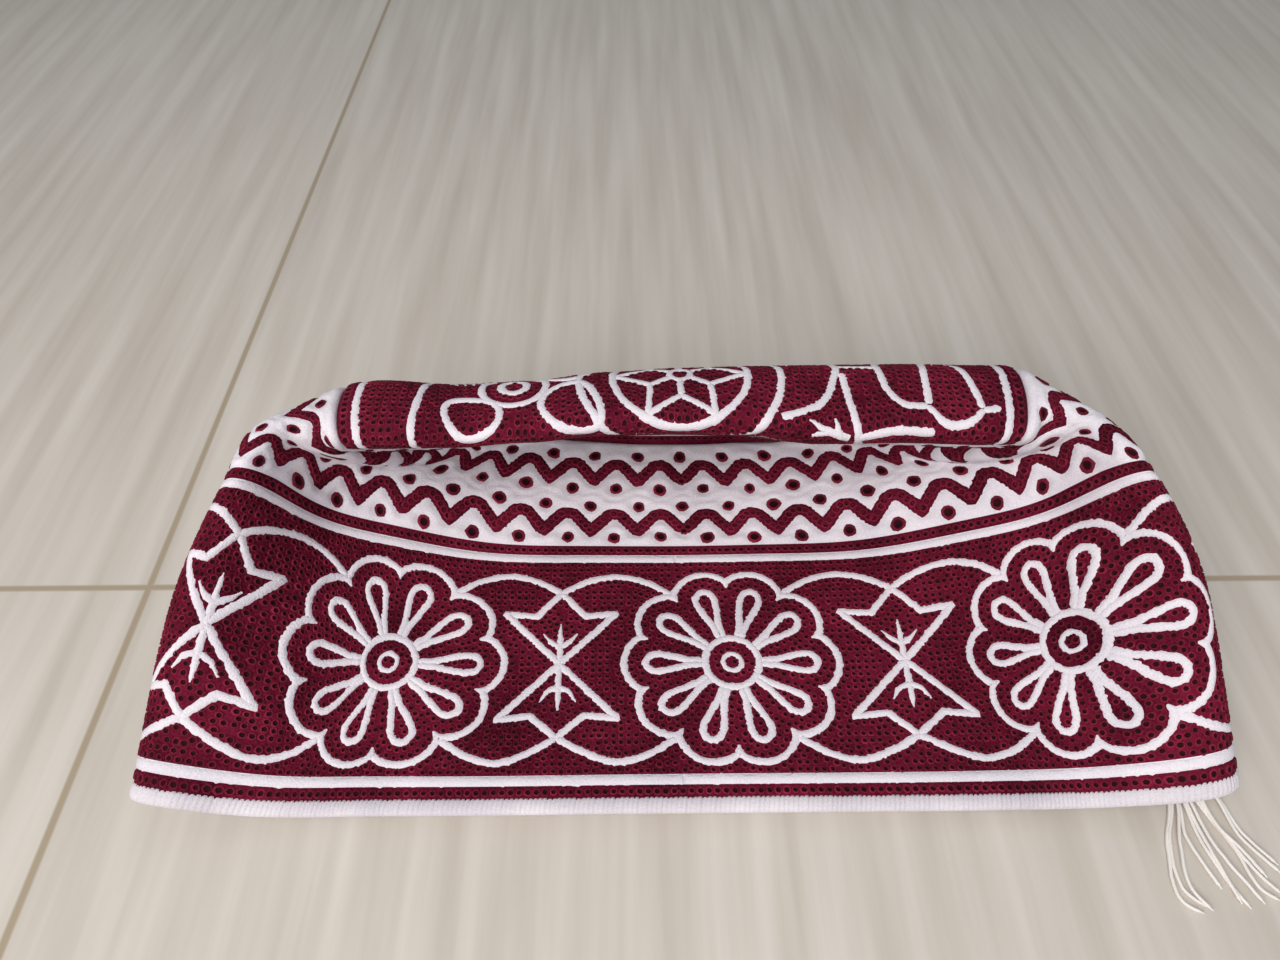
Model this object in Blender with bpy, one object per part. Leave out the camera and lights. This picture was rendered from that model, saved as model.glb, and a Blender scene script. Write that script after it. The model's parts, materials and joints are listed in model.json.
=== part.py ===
# A kumma cap lying on its back wall, with the crown disc folded over at the far end.
# Metres, +Z up, the rim towards -Y.
import math
import bmesh
import bpy
import numpy as np

for old in list(bpy.data.objects):
    bpy.data.objects.remove(old, do_unlink=True)

# driving sizes
GIRTH = 0.566          # round the rim
SIDE_HEIGHT = 0.1204   # rim edge to crown seam, along the cloth
CLOTH = 0.0018         # stitched double cloth
RIDGE_HEIGHT = 0.0705  # floor to the folded crown's ridge
RIM_DEPTH = 0.0048     # width of the overcast edge
RIM_PADDING = 0.0007   # how far the overcast edge is thicker than the cloth, on the inside
JOINT_GAP = 0.0005     # left between the overcast edge, the side and the loose threads
SEAM_GAP = 0.0007      # left between the side and the crown, where the seam sinks in
FOLD_SOFTNESS = 0.0045 # half width of the averaging that rounds the folds
AROUND = 72            # segments round the cap
THREAD = 0.0009        # thickness of one loose thread end

# sizes that follow
QUARTER = GIRTH / 4
CROWN_RADIUS = GIRTH / (2 * math.pi)

# Where the cloth lies, at stations from the middle of a layer to the side fold, as shares:
# station and across of a quarter of the girth, back of the side height, up of the ridge height.
STATIONS = (0.0, 0.2, 0.4, 0.6, 0.8, 0.95)
ROWS = (0.0, 0.35, 0.63, 0.80)  # of the side height, from the rim edge
FRONT_ACROSS = (
    (0.0, 0.199, 0.397, 0.592, 0.778, 0.930),
    (0.0, 0.199, 0.397, 0.592, 0.752, 0.895),
    (0.0, 0.200, 0.400, 0.589, 0.738, 0.806),
    (0.0, 0.198, 0.394, 0.572, 0.697, 0.738),
)
FRONT_BACK = (
    (0.000, 0.000, 0.000, 0.000, -0.004, 0.010),
    (0.347, 0.346, 0.345, 0.344, 0.322, 0.312),
    (0.630, 0.630, 0.627, 0.617, 0.580, 0.520),
    (0.794, 0.792, 0.787, 0.764, 0.698, 0.630),
)
FRONT_UP = (
    (0.136, 0.136, 0.130, 0.134, 0.225, 0.255),
    (0.129, 0.126, 0.130, 0.165, 0.375, 0.570),
    (0.122, 0.128, 0.160, 0.297, 0.540, 0.840),
    (0.140, 0.157, 0.236, 0.407, 0.671, 0.915),
)
BACK_ACROSS = (
    (0.0, 0.200, 0.400, 0.600, 0.790, 0.940),
    (0.0, 0.200, 0.400, 0.598, 0.780, 0.915),
    (0.0, 0.200, 0.400, 0.592, 0.763, 0.838),
    (0.0, 0.200, 0.397, 0.580, 0.722, 0.774),
)
BACK_BACK = (
    (0.000, 0.000, 0.000, 0.000, 0.000, 0.010),
    (0.350, 0.350, 0.350, 0.350, 0.335, 0.316),
    (0.630, 0.630, 0.630, 0.625, 0.590, 0.530),
    (0.810, 0.810, 0.808, 0.790, 0.728, 0.650),
)
BACK_UP = (
    (0.000, 0.000, 0.000, 0.000, 0.065, 0.130),
    (0.000, 0.000, 0.000, 0.035, 0.225, 0.460),
    (0.000, 0.000, 0.025, 0.155, 0.415, 0.755),
    (0.000, 0.000, 0.060, 0.245, 0.545, 0.860),
)
LEFT_IN = (0.0, 0.0033, 0.0040, 0.0010)  # how far the left fold lies further in than the right one, by row
# Where each column's cloth starts its turn up under the folded crown, as a share of the side height,
# and how much of a turn it makes there: 1 is a full valley, 0 none.
TURN_START = (1.0, 0.987, 0.940, 0.890, 0.870, 0.880)
TURN_STRENGTH = (1.0, 1.0, 1.0, 1.0, 0.8, 0.0)
TURN_LENGTH = 0.047  # of the turn, along the cloth, as a share of the side height
TURN_CHORD = 0.79    # straight distance across the turn, as a share of its length
TURN_PULL = 1.13     # how strongly the turn keeps its end directions
# The crown's cross-section from front edge to back edge: along as a share of the crown radius,
# and the direction in which it runs there, in degrees above level.
CROWN_ALONG = (-1.0, -0.26, -0.11, 0.0, 0.12, 0.28, 0.50, 0.72, 0.94, 1.0)
CROWN_HEADING = (133.0, 133.0, 20.0, 8.0, -36.0, -50.0, -62.0, -80.0, -93.0, -93.0)
# The crown's front edge, middle and back edge: back as a share of the side height, up of the ridge height.
FRONT_EDGE = (1.026, 0.141)
MIDDLE = (0.748, 0.985)
BACK_EDGE = (1.032, 0.013)
# How far the ridge sags from left to right, as a share of the ridge height.
SAG_AT = (-1.0, -0.78, -0.40, 0.0, 0.50, 1.0)
SAG = (0.065, 0.120, 0.085, 0.015, 0.040, 0.015)
THREAD_ROOTS = (0.2905, 0.2715)  # where on the back layer's rim, as shares of the whole girth
# The loose thread ends, left to right: how far each one runs aside and forward from its root, in metres.
THREAD_RUNS = (
    (-0.0010, 0.0245),
    (-0.0008, 0.0255),
    (-0.0006, 0.0240),
    (0.0066, 0.0240),
    (0.0068, 0.0235),
    (0.0136, 0.0225),
    (0.0143, 0.0225),
    (0.0170, 0.0190),
)


def loop_spline(knots, values, at):
    """A smooth closed curve through values at knots in 0 to 1, read at the places given."""
    n = len(knots)
    gap = np.diff(np.append(knots, knots[0] + 1.0))
    before = np.roll(gap, 1)
    slope = (np.roll(values, -1, axis=0) - values) / gap[:, None]
    matrix = np.zeros((n, n))
    for i in range(n):
        matrix[i, (i - 1) % n] += gap[i]
        matrix[i, i] += 2 * (gap[i] + before[i])
        matrix[i, (i + 1) % n] += before[i]
    right = 3 * (gap[:, None] * np.roll(slope, 1, axis=0) + before[:, None] * slope)
    tangent = np.linalg.solve(matrix, right)
    at = np.mod(at - knots[0], 1.0) + knots[0]
    cell = np.clip(np.searchsorted(knots, at, side="right") - 1, 0, n - 1)
    share = ((at - knots[cell]) / gap[cell])[:, None]
    following = (cell + 1) % n
    width = gap[cell][:, None]
    return (
        (1 + 2 * share) * (1 - share) ** 2 * values[cell]
        + share * (1 - share) ** 2 * width * tangent[cell]
        + share ** 2 * (3 - 2 * share) * values[following]
        + share ** 2 * (share - 1) * width * tangent[following]
    )


def open_spline(knots, values, at):
    """A smooth open curve through values at knots: no overshoot, and straight past both ends."""
    knots = np.asarray(knots, float)
    values = np.asarray(values, float)
    gap = np.diff(knots)
    slope = np.diff(values, axis=0) / gap.reshape(-1, *[1] * (values.ndim - 1))
    tangent = np.zeros_like(values)
    same = slope[:-1] * slope[1:] > 0
    total = np.where(same, slope[:-1] + slope[1:], 1.0)
    tangent[1:-1] = np.where(same, 2 * slope[:-1] * slope[1:] / total, 0.0)
    tangent[0] = slope[0]
    tangent[-1] = slope[-1]
    cell = np.clip(np.searchsorted(knots, at, side="right") - 1, 0, len(knots) - 2)
    shape = (-1,) + (1,) * (values.ndim - 1)
    width = gap[cell].reshape(shape)
    share = ((at - knots[cell]) / gap[cell]).reshape(shape)
    inside = np.clip(share, 0, 1)
    smooth = (
        (1 + 2 * inside) * (1 - inside) ** 2 * values[cell]
        + inside * (1 - inside) ** 2 * width * tangent[cell]
        + inside ** 2 * (3 - 2 * inside) * values[cell + 1]
        + inside ** 2 * (inside - 1) * width * tangent[cell + 1]
    )
    past = np.where(share > 1, tangent[cell + 1], tangent[cell])
    return smooth + (share - inside) * width * past


HALF_PROFILE = 200  # steps from the crown's edge to its middle
profile_along = np.linspace(-1.0, 1.0, 2 * HALF_PROFILE + 1)
profile_heading = np.radians(np.interp(profile_along, CROWN_ALONG, CROWN_HEADING))
run = np.concatenate([[0.0], np.cumsum(np.cos(profile_heading[:-1] + np.diff(profile_heading) / 2))])
rise = np.concatenate([[0.0], np.cumsum(np.sin(profile_heading[:-1] + np.diff(profile_heading) / 2))])
ahead = profile_along <= 0


def between(raw, front, middle, back):
    """The raw cross-section stretched so that its ends and its middle fall where they should."""
    centre = raw[HALF_PROFILE]
    fore = middle + (raw - centre) * (front - middle) / (raw[0] - centre)
    aft = middle + (raw - centre) * (back - middle) / (raw[-1] - centre)
    return np.where(ahead, fore, aft)


profile_back = between(run, FRONT_EDGE[0], MIDDLE[0], BACK_EDGE[0]) * SIDE_HEIGHT
profile_up = between(rise, FRONT_EDGE[1], MIDDLE[1], BACK_EDGE[1]) * RIDGE_HEIGHT


def crown_point(across, along):
    """A point of the bent crown disc, from its flat place: across is sideways, along is front to back."""
    share = along / CROWN_RADIUS
    back = np.interp(share, profile_along, profile_back)
    up = np.interp(share, profile_along, profile_up)
    raised = np.clip(up / RIDGE_HEIGHT, 0, 1) ** 2
    sag = open_spline(SAG_AT, SAG, np.clip(across / CROWN_RADIUS, -1, 1))
    return np.stack([across, back, up * (1 - sag * raised)], axis=-1)


# stations round the whole cap: front middle, right fold, back middle, left fold
shares = np.array(STATIONS)
place = np.concatenate([shares, 2 - shares[::-1], 2 + shares[1:], 4 - shares[:0:-1]]) / 4
side = np.concatenate([np.ones(12), -np.ones(10)])
layer = np.concatenate([np.zeros(6, int), np.ones(11, int), np.zeros(5, int)])
column = np.concatenate([np.arange(6), np.arange(5, -1, -1), np.arange(1, 6), np.arange(5, 0, -1)])
across = np.array((FRONT_ACROSS, BACK_ACROSS))[layer, :, column] * side[:, None] * QUARTER
back = np.array((FRONT_BACK, BACK_BACK))[layer, :, column] * SIDE_HEIGHT
lift = np.array((FRONT_UP, BACK_UP))[layer, :, column] * RIDGE_HEIGHT
near_left = np.clip((-across / QUARTER - 0.5) / 0.3, 0, 1)
across = across + near_left * np.array(LEFT_IN)
held = np.stack([across, back, np.maximum(lift, CLOTH / 2)], axis=-1)
turn_start = np.where(layer == 0, np.array(TURN_START)[column], TURN_START[-1]) * SIDE_HEIGHT
strength = np.where(layer == 0, np.array(TURN_STRENGTH)[column], 0.0)
slope = crown_point(np.zeros(2), np.array([-1.0, -0.6]) * CROWN_RADIUS)
slope = (slope[1] - slope[0]) / np.linalg.norm(slope[1] - slope[0])
turn_span = TURN_LENGTH * SIDE_HEIGHT
# From the start of the turn to its end: it leaves level and ends along the slope,
# so it climbs at half that angle.
half_turn = math.radians(CROWN_HEADING[0]) / 2
turn_chord = turn_span * TURN_CHORD * np.array([0.0, math.cos(half_turn), math.sin(half_turn)])


def path(around, along):
    """The unrounded cloth: around in 0 to 1, along from the rim edge over the seam to the crown's centre."""
    angle = around * 2 * math.pi
    radius = CROWN_RADIUS + SIDE_HEIGHT - along
    on_crown = crown_point(radius * np.sin(angle), -radius * np.cos(angle))
    seam = crown_point(CROWN_RADIUS * np.sin(angle), -CROWN_RADIUS * np.cos(angle))
    start = loop_spline(place, turn_start[:, None], around)[:, 0]
    depth = np.clip(loop_spline(place, strength[:, None], around), 0, 1)
    end = start + turn_span
    rows = [loop_spline(place, held[:, i], around) for i in range(len(ROWS))]
    inward = CROWN_RADIUS + SIDE_HEIGHT - end
    past_seam = crown_point(inward * np.sin(angle), -inward * np.cos(angle))
    turn_end = np.where((end > SIDE_HEIGHT)[:, None], past_seam, seam - (SIDE_HEIGHT - end)[:, None] * slope)
    plain = ((start - ROWS[-1] * SIDE_HEIGHT) / (SIDE_HEIGHT - ROWS[-1] * SIDE_HEIGHT))[:, None]
    plain_start = rows[-1] + (seam - rows[-1]) * plain
    ratio = ((end - ROWS[-1] * SIDE_HEIGHT) / (SIDE_HEIGHT - ROWS[-1] * SIDE_HEIGHT))[:, None]
    plain_end = rows[-1] + (seam - rows[-1]) * ratio
    turn_begin = depth * (turn_end - turn_chord) + (1 - depth) * plain_start
    turn_end = depth * turn_end + (1 - depth) * plain_end
    rows = np.stack(rows + [turn_begin])
    first = rows[-1] - rows[-2]
    first /= np.linalg.norm(first, axis=1)[:, None]
    last = depth * slope + (1 - depth) * first
    pull = turn_span * (TURN_PULL * depth + (1 - depth))
    stops = np.broadcast_to(np.array(ROWS)[:, None] * SIDE_HEIGHT, (len(ROWS), len(around)))
    stops = np.concatenate([stops, start[None]])
    points = np.empty((len(around), 3))
    for i in range(len(around)):
        here = along[i]
        if here > end[i]:
            if here >= SIDE_HEIGHT:
                points[i] = on_crown[i]
            else:
                share = (here - end[i]) / (SIDE_HEIGHT - end[i])
                points[i] = turn_end[i] + (seam[i] - turn_end[i]) * share
        elif here > start[i]:
            t = (here - start[i]) / turn_span
            points[i] = (
                (1 + 2 * t) * (1 - t) ** 2 * turn_begin[i]
                + t * (1 - t) ** 2 * pull[i] * first[i]
                + t * t * (3 - 2 * t) * turn_end[i]
                + t * t * (t - 1) * pull[i] * last[i]
            )
        else:
            points[i] = open_spline(stops[:, i], rows[:, i], np.array([here]))[0]
    return points


def cloth(around, along):
    """The cloth's middle surface, with its folds rounded."""
    around = np.asarray(around, float).ravel()
    along = np.asarray(along, float).ravel()
    total = np.zeros((len(around), 3))
    near_seam = np.clip((1.17 - along / SIDE_HEIGHT) / 0.12, 0, 1)
    open_fold = 1 - 0.8 * np.clip(loop_spline(place, strength[:, None], around)[:, 0], 0, 1)
    spread = FOLD_SOFTNESS * open_fold * near_seam * np.clip((along / SIDE_HEIGHT - 0.3) / 0.2, 0, 1)
    weights = ((-1.0, 1), (-0.5, 2), (0.0, 2), (0.5, 2), (1.0, 1))
    for step, weight in weights:
        total += weight * path(around, along + step * spread)
    total /= sum(weight for step, weight in weights)
    total[:, 2] = np.maximum(total[:, 2], CLOTH / 2)
    return total


def normals(around, along):
    """The outward direction of the cloth."""
    turn = 0.002
    step = 0.0012
    sideways = cloth(around + turn, along) - cloth(around - turn, along)
    upward = cloth(around, along + step) - cloth(around, along - step)
    out = np.cross(sideways, upward)
    return out / np.linalg.norm(out, axis=1)[:, None]


def sheet(around, along, facing, outside, inside):
    """Outer and inner points of a grid of cloth, the outer first. facing is where its direction is taken."""
    middle = cloth(*np.meshgrid(around, along))
    grid_around, grid_facing = np.meshgrid(around, facing)
    out = normals(grid_around.ravel(), grid_facing.ravel())
    outer = middle + outside * out
    inner = middle - inside * out
    outer[:, 2] = np.maximum(outer[:, 2], 0.0)
    shape = (len(along), len(around), 3)
    return outer.reshape(shape), inner.reshape(shape)


pieces = []


def piece(name, points, faces, colour, roughness):
    pieces.append((name, np.asarray(points), faces, colour, roughness))


def build(name, points, faces, colour, roughness):
    mesh = bpy.data.meshes.new(name)
    mesh.from_pydata([tuple(float(c) for c in p) for p in points], [], faces)
    mesh.validate()
    for polygon in mesh.polygons:
        polygon.use_smooth = True
    obj = bpy.data.objects.new(name, mesh)
    bpy.context.scene.collection.objects.link(obj)
    material = bpy.data.materials.new(name)
    material.use_nodes = True
    shader = material.node_tree.nodes["Principled BSDF"]
    shader.inputs["Base Color"].default_value = colour
    shader.inputs["Roughness"].default_value = roughness
    mesh.materials.append(material)
    return obj


def ring(rows):
    """Faces of a closed ring whose cross-section is the list of rows of points, joined end to end."""
    count = len(rows)
    around = len(rows[0])
    faces = []
    for r in range(count):
        for i in range(around):
            j = (i + 1) % around
            s = (r + 1) % count
            faces.append((r * around + i, r * around + j, s * around + j, s * around + i))
    return np.concatenate(rows), faces


turns = np.arange(AROUND) / AROUND
wall = CLOTH / 2

# the side wall, from the overcast edge to the crown seam
wall_rows = (
    0.0, 0.06, 0.13, 0.22, 0.31, 0.40, 0.49, 0.57, 0.64,
    0.70, 0.76, 0.81, 0.85, 0.885, 0.915, 0.945, 0.973, 1.0,
)
wall_start = RIM_DEPTH + JOINT_GAP
wall_along = wall_start + np.array(wall_rows) * (SIDE_HEIGHT - SEAM_GAP / 2 - wall_start)
wall_facing = wall_along.copy()
wall_facing[0] = RIM_DEPTH + JOINT_GAP / 2
wall_facing[-1] = SIDE_HEIGHT
outer, inner = sheet(turns, wall_along, wall_facing, wall, wall)
points, faces = ring(list(outer) + list(inner[::-1]))
piece("side_wall", points, faces, (0.24, 0.03, 0.06, 1.0), 0.85)

# the overcast edge, a little thicker than the cloth on the inside
flush = wall / (wall + RIM_PADDING)
# how deep, and how thick outside and inside, as shares
rim_profile = (
    (0.10, 0.6, 0.5),
    (0.45, 1.0, 1.0),
    (0.80, 1.0, 1.0),
    (1.00, 1.0, flush),
)
rows = []
for share, out_share, in_share in rim_profile:
    here = np.array([share * RIM_DEPTH])
    facing = here + (JOINT_GAP / 2 if share == 1.0 else 0.0)
    pair = sheet(turns, here, facing, out_share * wall, in_share * (wall + RIM_PADDING))
    rows.append((pair[0][0], pair[1][0]))
points, faces = ring([r[0] for r in rows] + [r[1] for r in rows[::-1]])
piece("rim_binding", points, faces, (0.80, 0.78, 0.82, 1.0), 0.8)

# the crown disc
crown_edge = CROWN_RADIUS - SEAM_GAP / 2
ring_shares = np.array([1.0, 0.975, 0.945, 0.91, 0.87, 0.82, 0.75, 0.66, 0.56, 0.45, 0.34, 0.23, 0.14, 0.06])
crown_along = SIDE_HEIGHT + CROWN_RADIUS - ring_shares * crown_edge
crown_facing = crown_along.copy()
crown_facing[0] = SIDE_HEIGHT
outer, inner = sheet(turns, crown_along, crown_facing, wall, wall)
middle = crown_point(np.zeros(1), np.zeros(1))[0]
near_middle = crown_point(np.zeros(2), np.array([-0.001, 0.001]))
lean = near_middle[1] - near_middle[0]
upright = np.array([0.0, -lean[2], lean[1]]) / np.linalg.norm(lean[1:])
ends = [middle + upright * wall, middle - upright * wall]
points = np.concatenate([outer.reshape(-1, 3), inner.reshape(-1, 3), ends])
rings = len(ring_shares)
under = rings * AROUND
faces = []
for i in range(AROUND):
    j = (i + 1) % AROUND
    for r in range(rings - 1):
        top = (r * AROUND + i, r * AROUND + j, (r + 1) * AROUND + j, (r + 1) * AROUND + i)
        faces.append(top)
        faces.append(tuple(under + v for v in top[::-1]))
    last = (rings - 1) * AROUND
    faces.append((last + i, last + j, 2 * under))
    faces.append((under + last + j, under + last + i, 2 * under + 1))
    faces.append((under + i, under + j, j, i))
piece("crown_top", points, faces, (0.26, 0.03, 0.07, 1.0), 0.85)

# the loose thread ends: a root bar under the back layer's rim, and a thread out of every second cell of it
count = len(THREAD_RUNS)
stations = 2 * count
root_turns = np.linspace(THREAD_ROOTS[0], THREAD_ROOTS[1], stations)
root_along = np.full(stations, 0.45 * RIM_DEPTH)
half = THREAD / 2
lying = 0.55 * THREAD  # height of a thread's middle on the floor
root = cloth(root_turns, root_along) + (wall + JOINT_GAP + half) * normals(root_turns, root_along)
root[:, 2] = np.maximum(root[:, 2], lying)
bar_corners = ((half, half), (-half, half), (-half, -half), (half, -half))
points = []
for place_on_rim in root:
    for back_by, up_by in bar_corners:
        points.append(place_on_rim + np.array([0.0, back_by, up_by]))
faces = [(3, 2, 1, 0)]
for k in range(stations - 1):
    for side_of_bar in range(4):
        if side_of_bar == 1 and k % 2 == 0:
            continue
        a = 4 * k + side_of_bar
        b = 4 * k + (side_of_bar + 1) % 4
        faces.append((b, b + 4, a + 4, a))
end = 4 * (stations - 1)
faces.append((end, end + 1, end + 2, end + 3))
STEPS = 9       # along each thread
LANDING = 0.5   # share of its run at which a thread reaches the floor
THIN = 0.9      # of the root's width
for t, (aside, forward) in enumerate(THREAD_RUNS):
    left = 8 * t
    section = [left + 1, left + 5, left + 6, left + 2]
    start = (root[2 * t] + root[2 * t + 1]) / 2 - np.array([0.0, half, 0.0])
    for step in range(1, STEPS + 1):
        share = step / STEPS
        sideways = share ** 1.5
        x = start[0] + aside * sideways
        y = start[1] - forward * share
        z = lying + (start[2] - lying) * (1 - min(share / LANDING, 1.0)) ** 1.5
        first = len(points)
        narrow = half * (THIN if step < STEPS else THIN / 2)
        for across_by, up_by in ((-narrow, half), (narrow, half), (narrow, -half), (-narrow, -half)):
            points.append(np.array([x + across_by, y, z + up_by]))
        following = [first, first + 1, first + 2, first + 3]
        for c in range(4):
            d = (c + 1) % 4
            faces.append((following[c], following[d], section[d], section[c]))
        section = following
    faces.append(tuple(section[::-1]))
piece("loose_threads", points, faces, (0.82, 0.80, 0.80, 1.0), 0.7)

# everything is moved so that the origin is at the middle of the whole cap's box, on the floor
low = np.min([p.min(axis=0) for name, p, *rest in pieces], axis=0)
high = np.max([p.max(axis=0) for name, p, *rest in pieces], axis=0)
origin = np.array([(low[0] + high[0]) / 2, (low[1] + high[1]) / 2, low[2]])
for name, points, faces, colour, roughness in pieces:
    build(name, points - origin, faces, colour, roughness)
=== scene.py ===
# The looks of the kumma cap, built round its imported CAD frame.
# Metres, +Z up, the rim towards -Y. Pattern sizes are in millimetres on the flat cloth.
import json
import math

import bpy
import numpy as np
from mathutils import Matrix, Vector
from mathutils.kdtree import KDTree

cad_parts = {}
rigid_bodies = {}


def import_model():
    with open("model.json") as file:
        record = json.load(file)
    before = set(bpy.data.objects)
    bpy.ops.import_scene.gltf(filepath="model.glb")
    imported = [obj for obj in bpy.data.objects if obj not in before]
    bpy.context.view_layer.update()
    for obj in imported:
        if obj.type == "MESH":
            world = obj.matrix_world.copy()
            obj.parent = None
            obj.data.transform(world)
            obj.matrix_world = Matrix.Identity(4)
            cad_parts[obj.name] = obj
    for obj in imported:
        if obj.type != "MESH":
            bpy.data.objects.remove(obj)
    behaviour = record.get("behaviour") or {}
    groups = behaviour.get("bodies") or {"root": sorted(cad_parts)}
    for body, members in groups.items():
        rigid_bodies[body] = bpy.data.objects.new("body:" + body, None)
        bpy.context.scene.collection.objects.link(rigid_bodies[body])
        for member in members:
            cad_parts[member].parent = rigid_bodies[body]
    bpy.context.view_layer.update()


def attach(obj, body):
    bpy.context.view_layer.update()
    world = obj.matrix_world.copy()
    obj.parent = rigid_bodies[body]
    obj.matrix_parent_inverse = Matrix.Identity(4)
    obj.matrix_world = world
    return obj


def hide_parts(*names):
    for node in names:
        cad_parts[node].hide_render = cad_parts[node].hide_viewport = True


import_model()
for old in [o for o in bpy.data.objects if o.name in ("Cube", "Light", "Camera")]:
    bpy.data.objects.remove(old, do_unlink=True)
noise = np.random.default_rng(7)

# How the cloth lies: the sizes and shares of the CAD model over a finer grid. The crown fold and
# both rims were then moved a few millimetres, to lie as the photograph shows.
# place() turns a spot on the flat cloth into a point of the folded cap.
GIRTH = 0.566
SIDE_HEIGHT = 0.1204
CLOTH = 0.0018
RIDGE_HEIGHT = 0.0705
FOLD_SOFTNESS = 0.0045
EMBROIDERY = 0.0004    # how far the needlework stands off the cloth
CAD_SHIFT = (0.00609, 0.05130, 0.0)  # from the front middle of the rim to the CAD origin
QUARTER = GIRTH / 4
CROWN_RADIUS = GIRTH / (2 * math.pi)
STATIONS = (0.0, 0.2, 0.4, 0.6, 0.8, 0.95)
ROWS = (0.0, 0.35, 0.63, 0.80)
FRONT_ACROSS = (
    (0.0, 0.199, 0.397, 0.592, 0.778, 0.930),
    (0.0, 0.199, 0.397, 0.592, 0.752, 0.895),
    (0.0, 0.200, 0.400, 0.589, 0.738, 0.806),
    (0.0, 0.198, 0.394, 0.572, 0.697, 0.738),
)
FRONT_BACK = (
    (0.000, 0.000, 0.000, 0.000, -0.004, 0.010),
    (0.347, 0.346, 0.345, 0.344, 0.322, 0.312),
    (0.630, 0.630, 0.627, 0.617, 0.580, 0.520),
    (0.794, 0.792, 0.787, 0.764, 0.698, 0.630),
)
FRONT_UP = (
    (0.092, 0.092, 0.090, 0.092, 0.130, 0.190),
    (0.118, 0.117, 0.124, 0.160, 0.360, 0.560),
    (0.122, 0.128, 0.160, 0.297, 0.540, 0.840),
    (0.140, 0.157, 0.236, 0.407, 0.671, 0.915),
)
BACK_ACROSS = (
    (0.0, 0.200, 0.400, 0.600, 0.790, 0.940),
    (0.0, 0.200, 0.400, 0.598, 0.780, 0.915),
    (0.0, 0.200, 0.400, 0.592, 0.763, 0.838),
    (0.0, 0.200, 0.397, 0.580, 0.722, 0.774),
)
BACK_BACK = (
    (0.026, 0.026, 0.026, 0.024, 0.012, 0.010),
    (0.350, 0.350, 0.350, 0.350, 0.335, 0.316),
    (0.630, 0.630, 0.630, 0.625, 0.590, 0.530),
    (0.810, 0.810, 0.808, 0.790, 0.728, 0.650),
)
BACK_UP = (
    (0.000, 0.000, 0.000, 0.000, 0.030, 0.090),
    (0.000, 0.000, 0.000, 0.035, 0.225, 0.460),
    (0.000, 0.000, 0.025, 0.155, 0.415, 0.755),
    (0.000, 0.000, 0.060, 0.245, 0.545, 0.860),
)
LEFT_IN = (0.0, 0.0033, 0.0040, 0.0010)
END_BACK = (0.0046, 0.0020, 0.0, 0.0)     # the under layer at the rim, hidden by the upper one
RIGHT_BACK = (0.0034, 0.0012, 0.0, 0.0)   # and more of it at the right, where the upper layer rises
TURN_START = (1.0, 0.987, 0.940, 0.890, 0.870, 0.880)
TURN_STRENGTH = (1.0, 1.0, 1.0, 1.0, 0.8, 0.0)
TURN_LENGTH = 0.047
TURN_CHORD = 0.79
TURN_PULL = 1.13
FIRST_HEADING = 133.0
CROWN_STATIONS = (-0.9, -0.67, -0.45, -0.22, 0.0, 0.2, 0.4, 0.67, 0.9)
CROWN_ALONG = (
    -1.0, -0.95, -0.92, -0.26, -0.22, -0.19, -0.16, -0.12, 0.0, 0.05, 0.12, 0.28, 0.50, 0.72, 0.94, 1.0,
)
CROWN_HEADING = (
    (128, 128, 132, 132, 132, 85, 28, 8, -8, -36, -46, -52, -60, -78, -93, -93),
    (118, 122, 132, 132, 132, 84, 14, 0, -12, -40, -48, -52, -60, -78, -93, -93),
    (100, 110, 133, 133, 133, 84, 8, -2, -14, -42, -50, -54, -60, -78, -93, -93),
    (90, 102, 134, 134, 134, 85, 10, 2, -14, -42, -50, -54, -60, -78, -93, -93),
    (88, 100, 134, 134, 134, 80, 8, 2, -12, -38, -48, -54, -60, -78, -93, -93),
    (92, 104, 134, 134, 130, 84, 14, 4, -8, -34, -46, -54, -60, -78, -93, -93),
    (115, 120, 134, 134, 120, 62, 20, 10, 0, -30, -44, -52, -60, -78, -93, -93),
    (126, 128, 134, 134, 120, 62, 20, 10, 0, -28, -44, -52, -60, -78, -93, -93),
    (128, 128, 134, 134, 120, 64, 22, 12, 0, -28, -44, -52, -60, -78, -93, -93),
)
MIDDLE_BACK = (0.765, 0.770, 0.772, 0.775, 0.775, 0.772, 0.765, 0.765, 0.760)
MIDDLE_UP = (0.885, 0.860, 0.875, 0.915, 0.930, 0.935, 0.938, 0.938, 0.935)
FRONT_EDGE = (1.026, 0.141)
BACK_EDGE = (1.032, 0.013)
COLUMNS = 566          # of the grid, round the cap
GRID_STEP = 0.0005     # of the grid, along the cloth
END_START = 0.5        # share of the half width where an end of the folded cap starts
END_SPAN = 0.3         # and over which it comes in
SOFT_START = 0.3       # share of the side height where the folds start to be rounded
SOFT_GROWTH = 0.2      # and over which the rounding grows
SOFT_END = 1.17        # where it ends
SOFT_FADE = 0.12       # and over which it fades
TIGHT_TURN = 0.8       # how much of the rounding the tight turn under the crown goes without
LOWEST = 0.00002       # height under which no point lies


def hermite(share, width, first, second, first_slope, second_slope):
    """A smooth curve from first to second, read at shares of its width, with its slopes at both ends."""
    return (
        (1 + 2 * share) * (1 - share) ** 2 * first
        + share * (1 - share) ** 2 * width * first_slope
        + share ** 2 * (3 - 2 * share) * second
        + share ** 2 * (share - 1) * width * second_slope
    )


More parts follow.
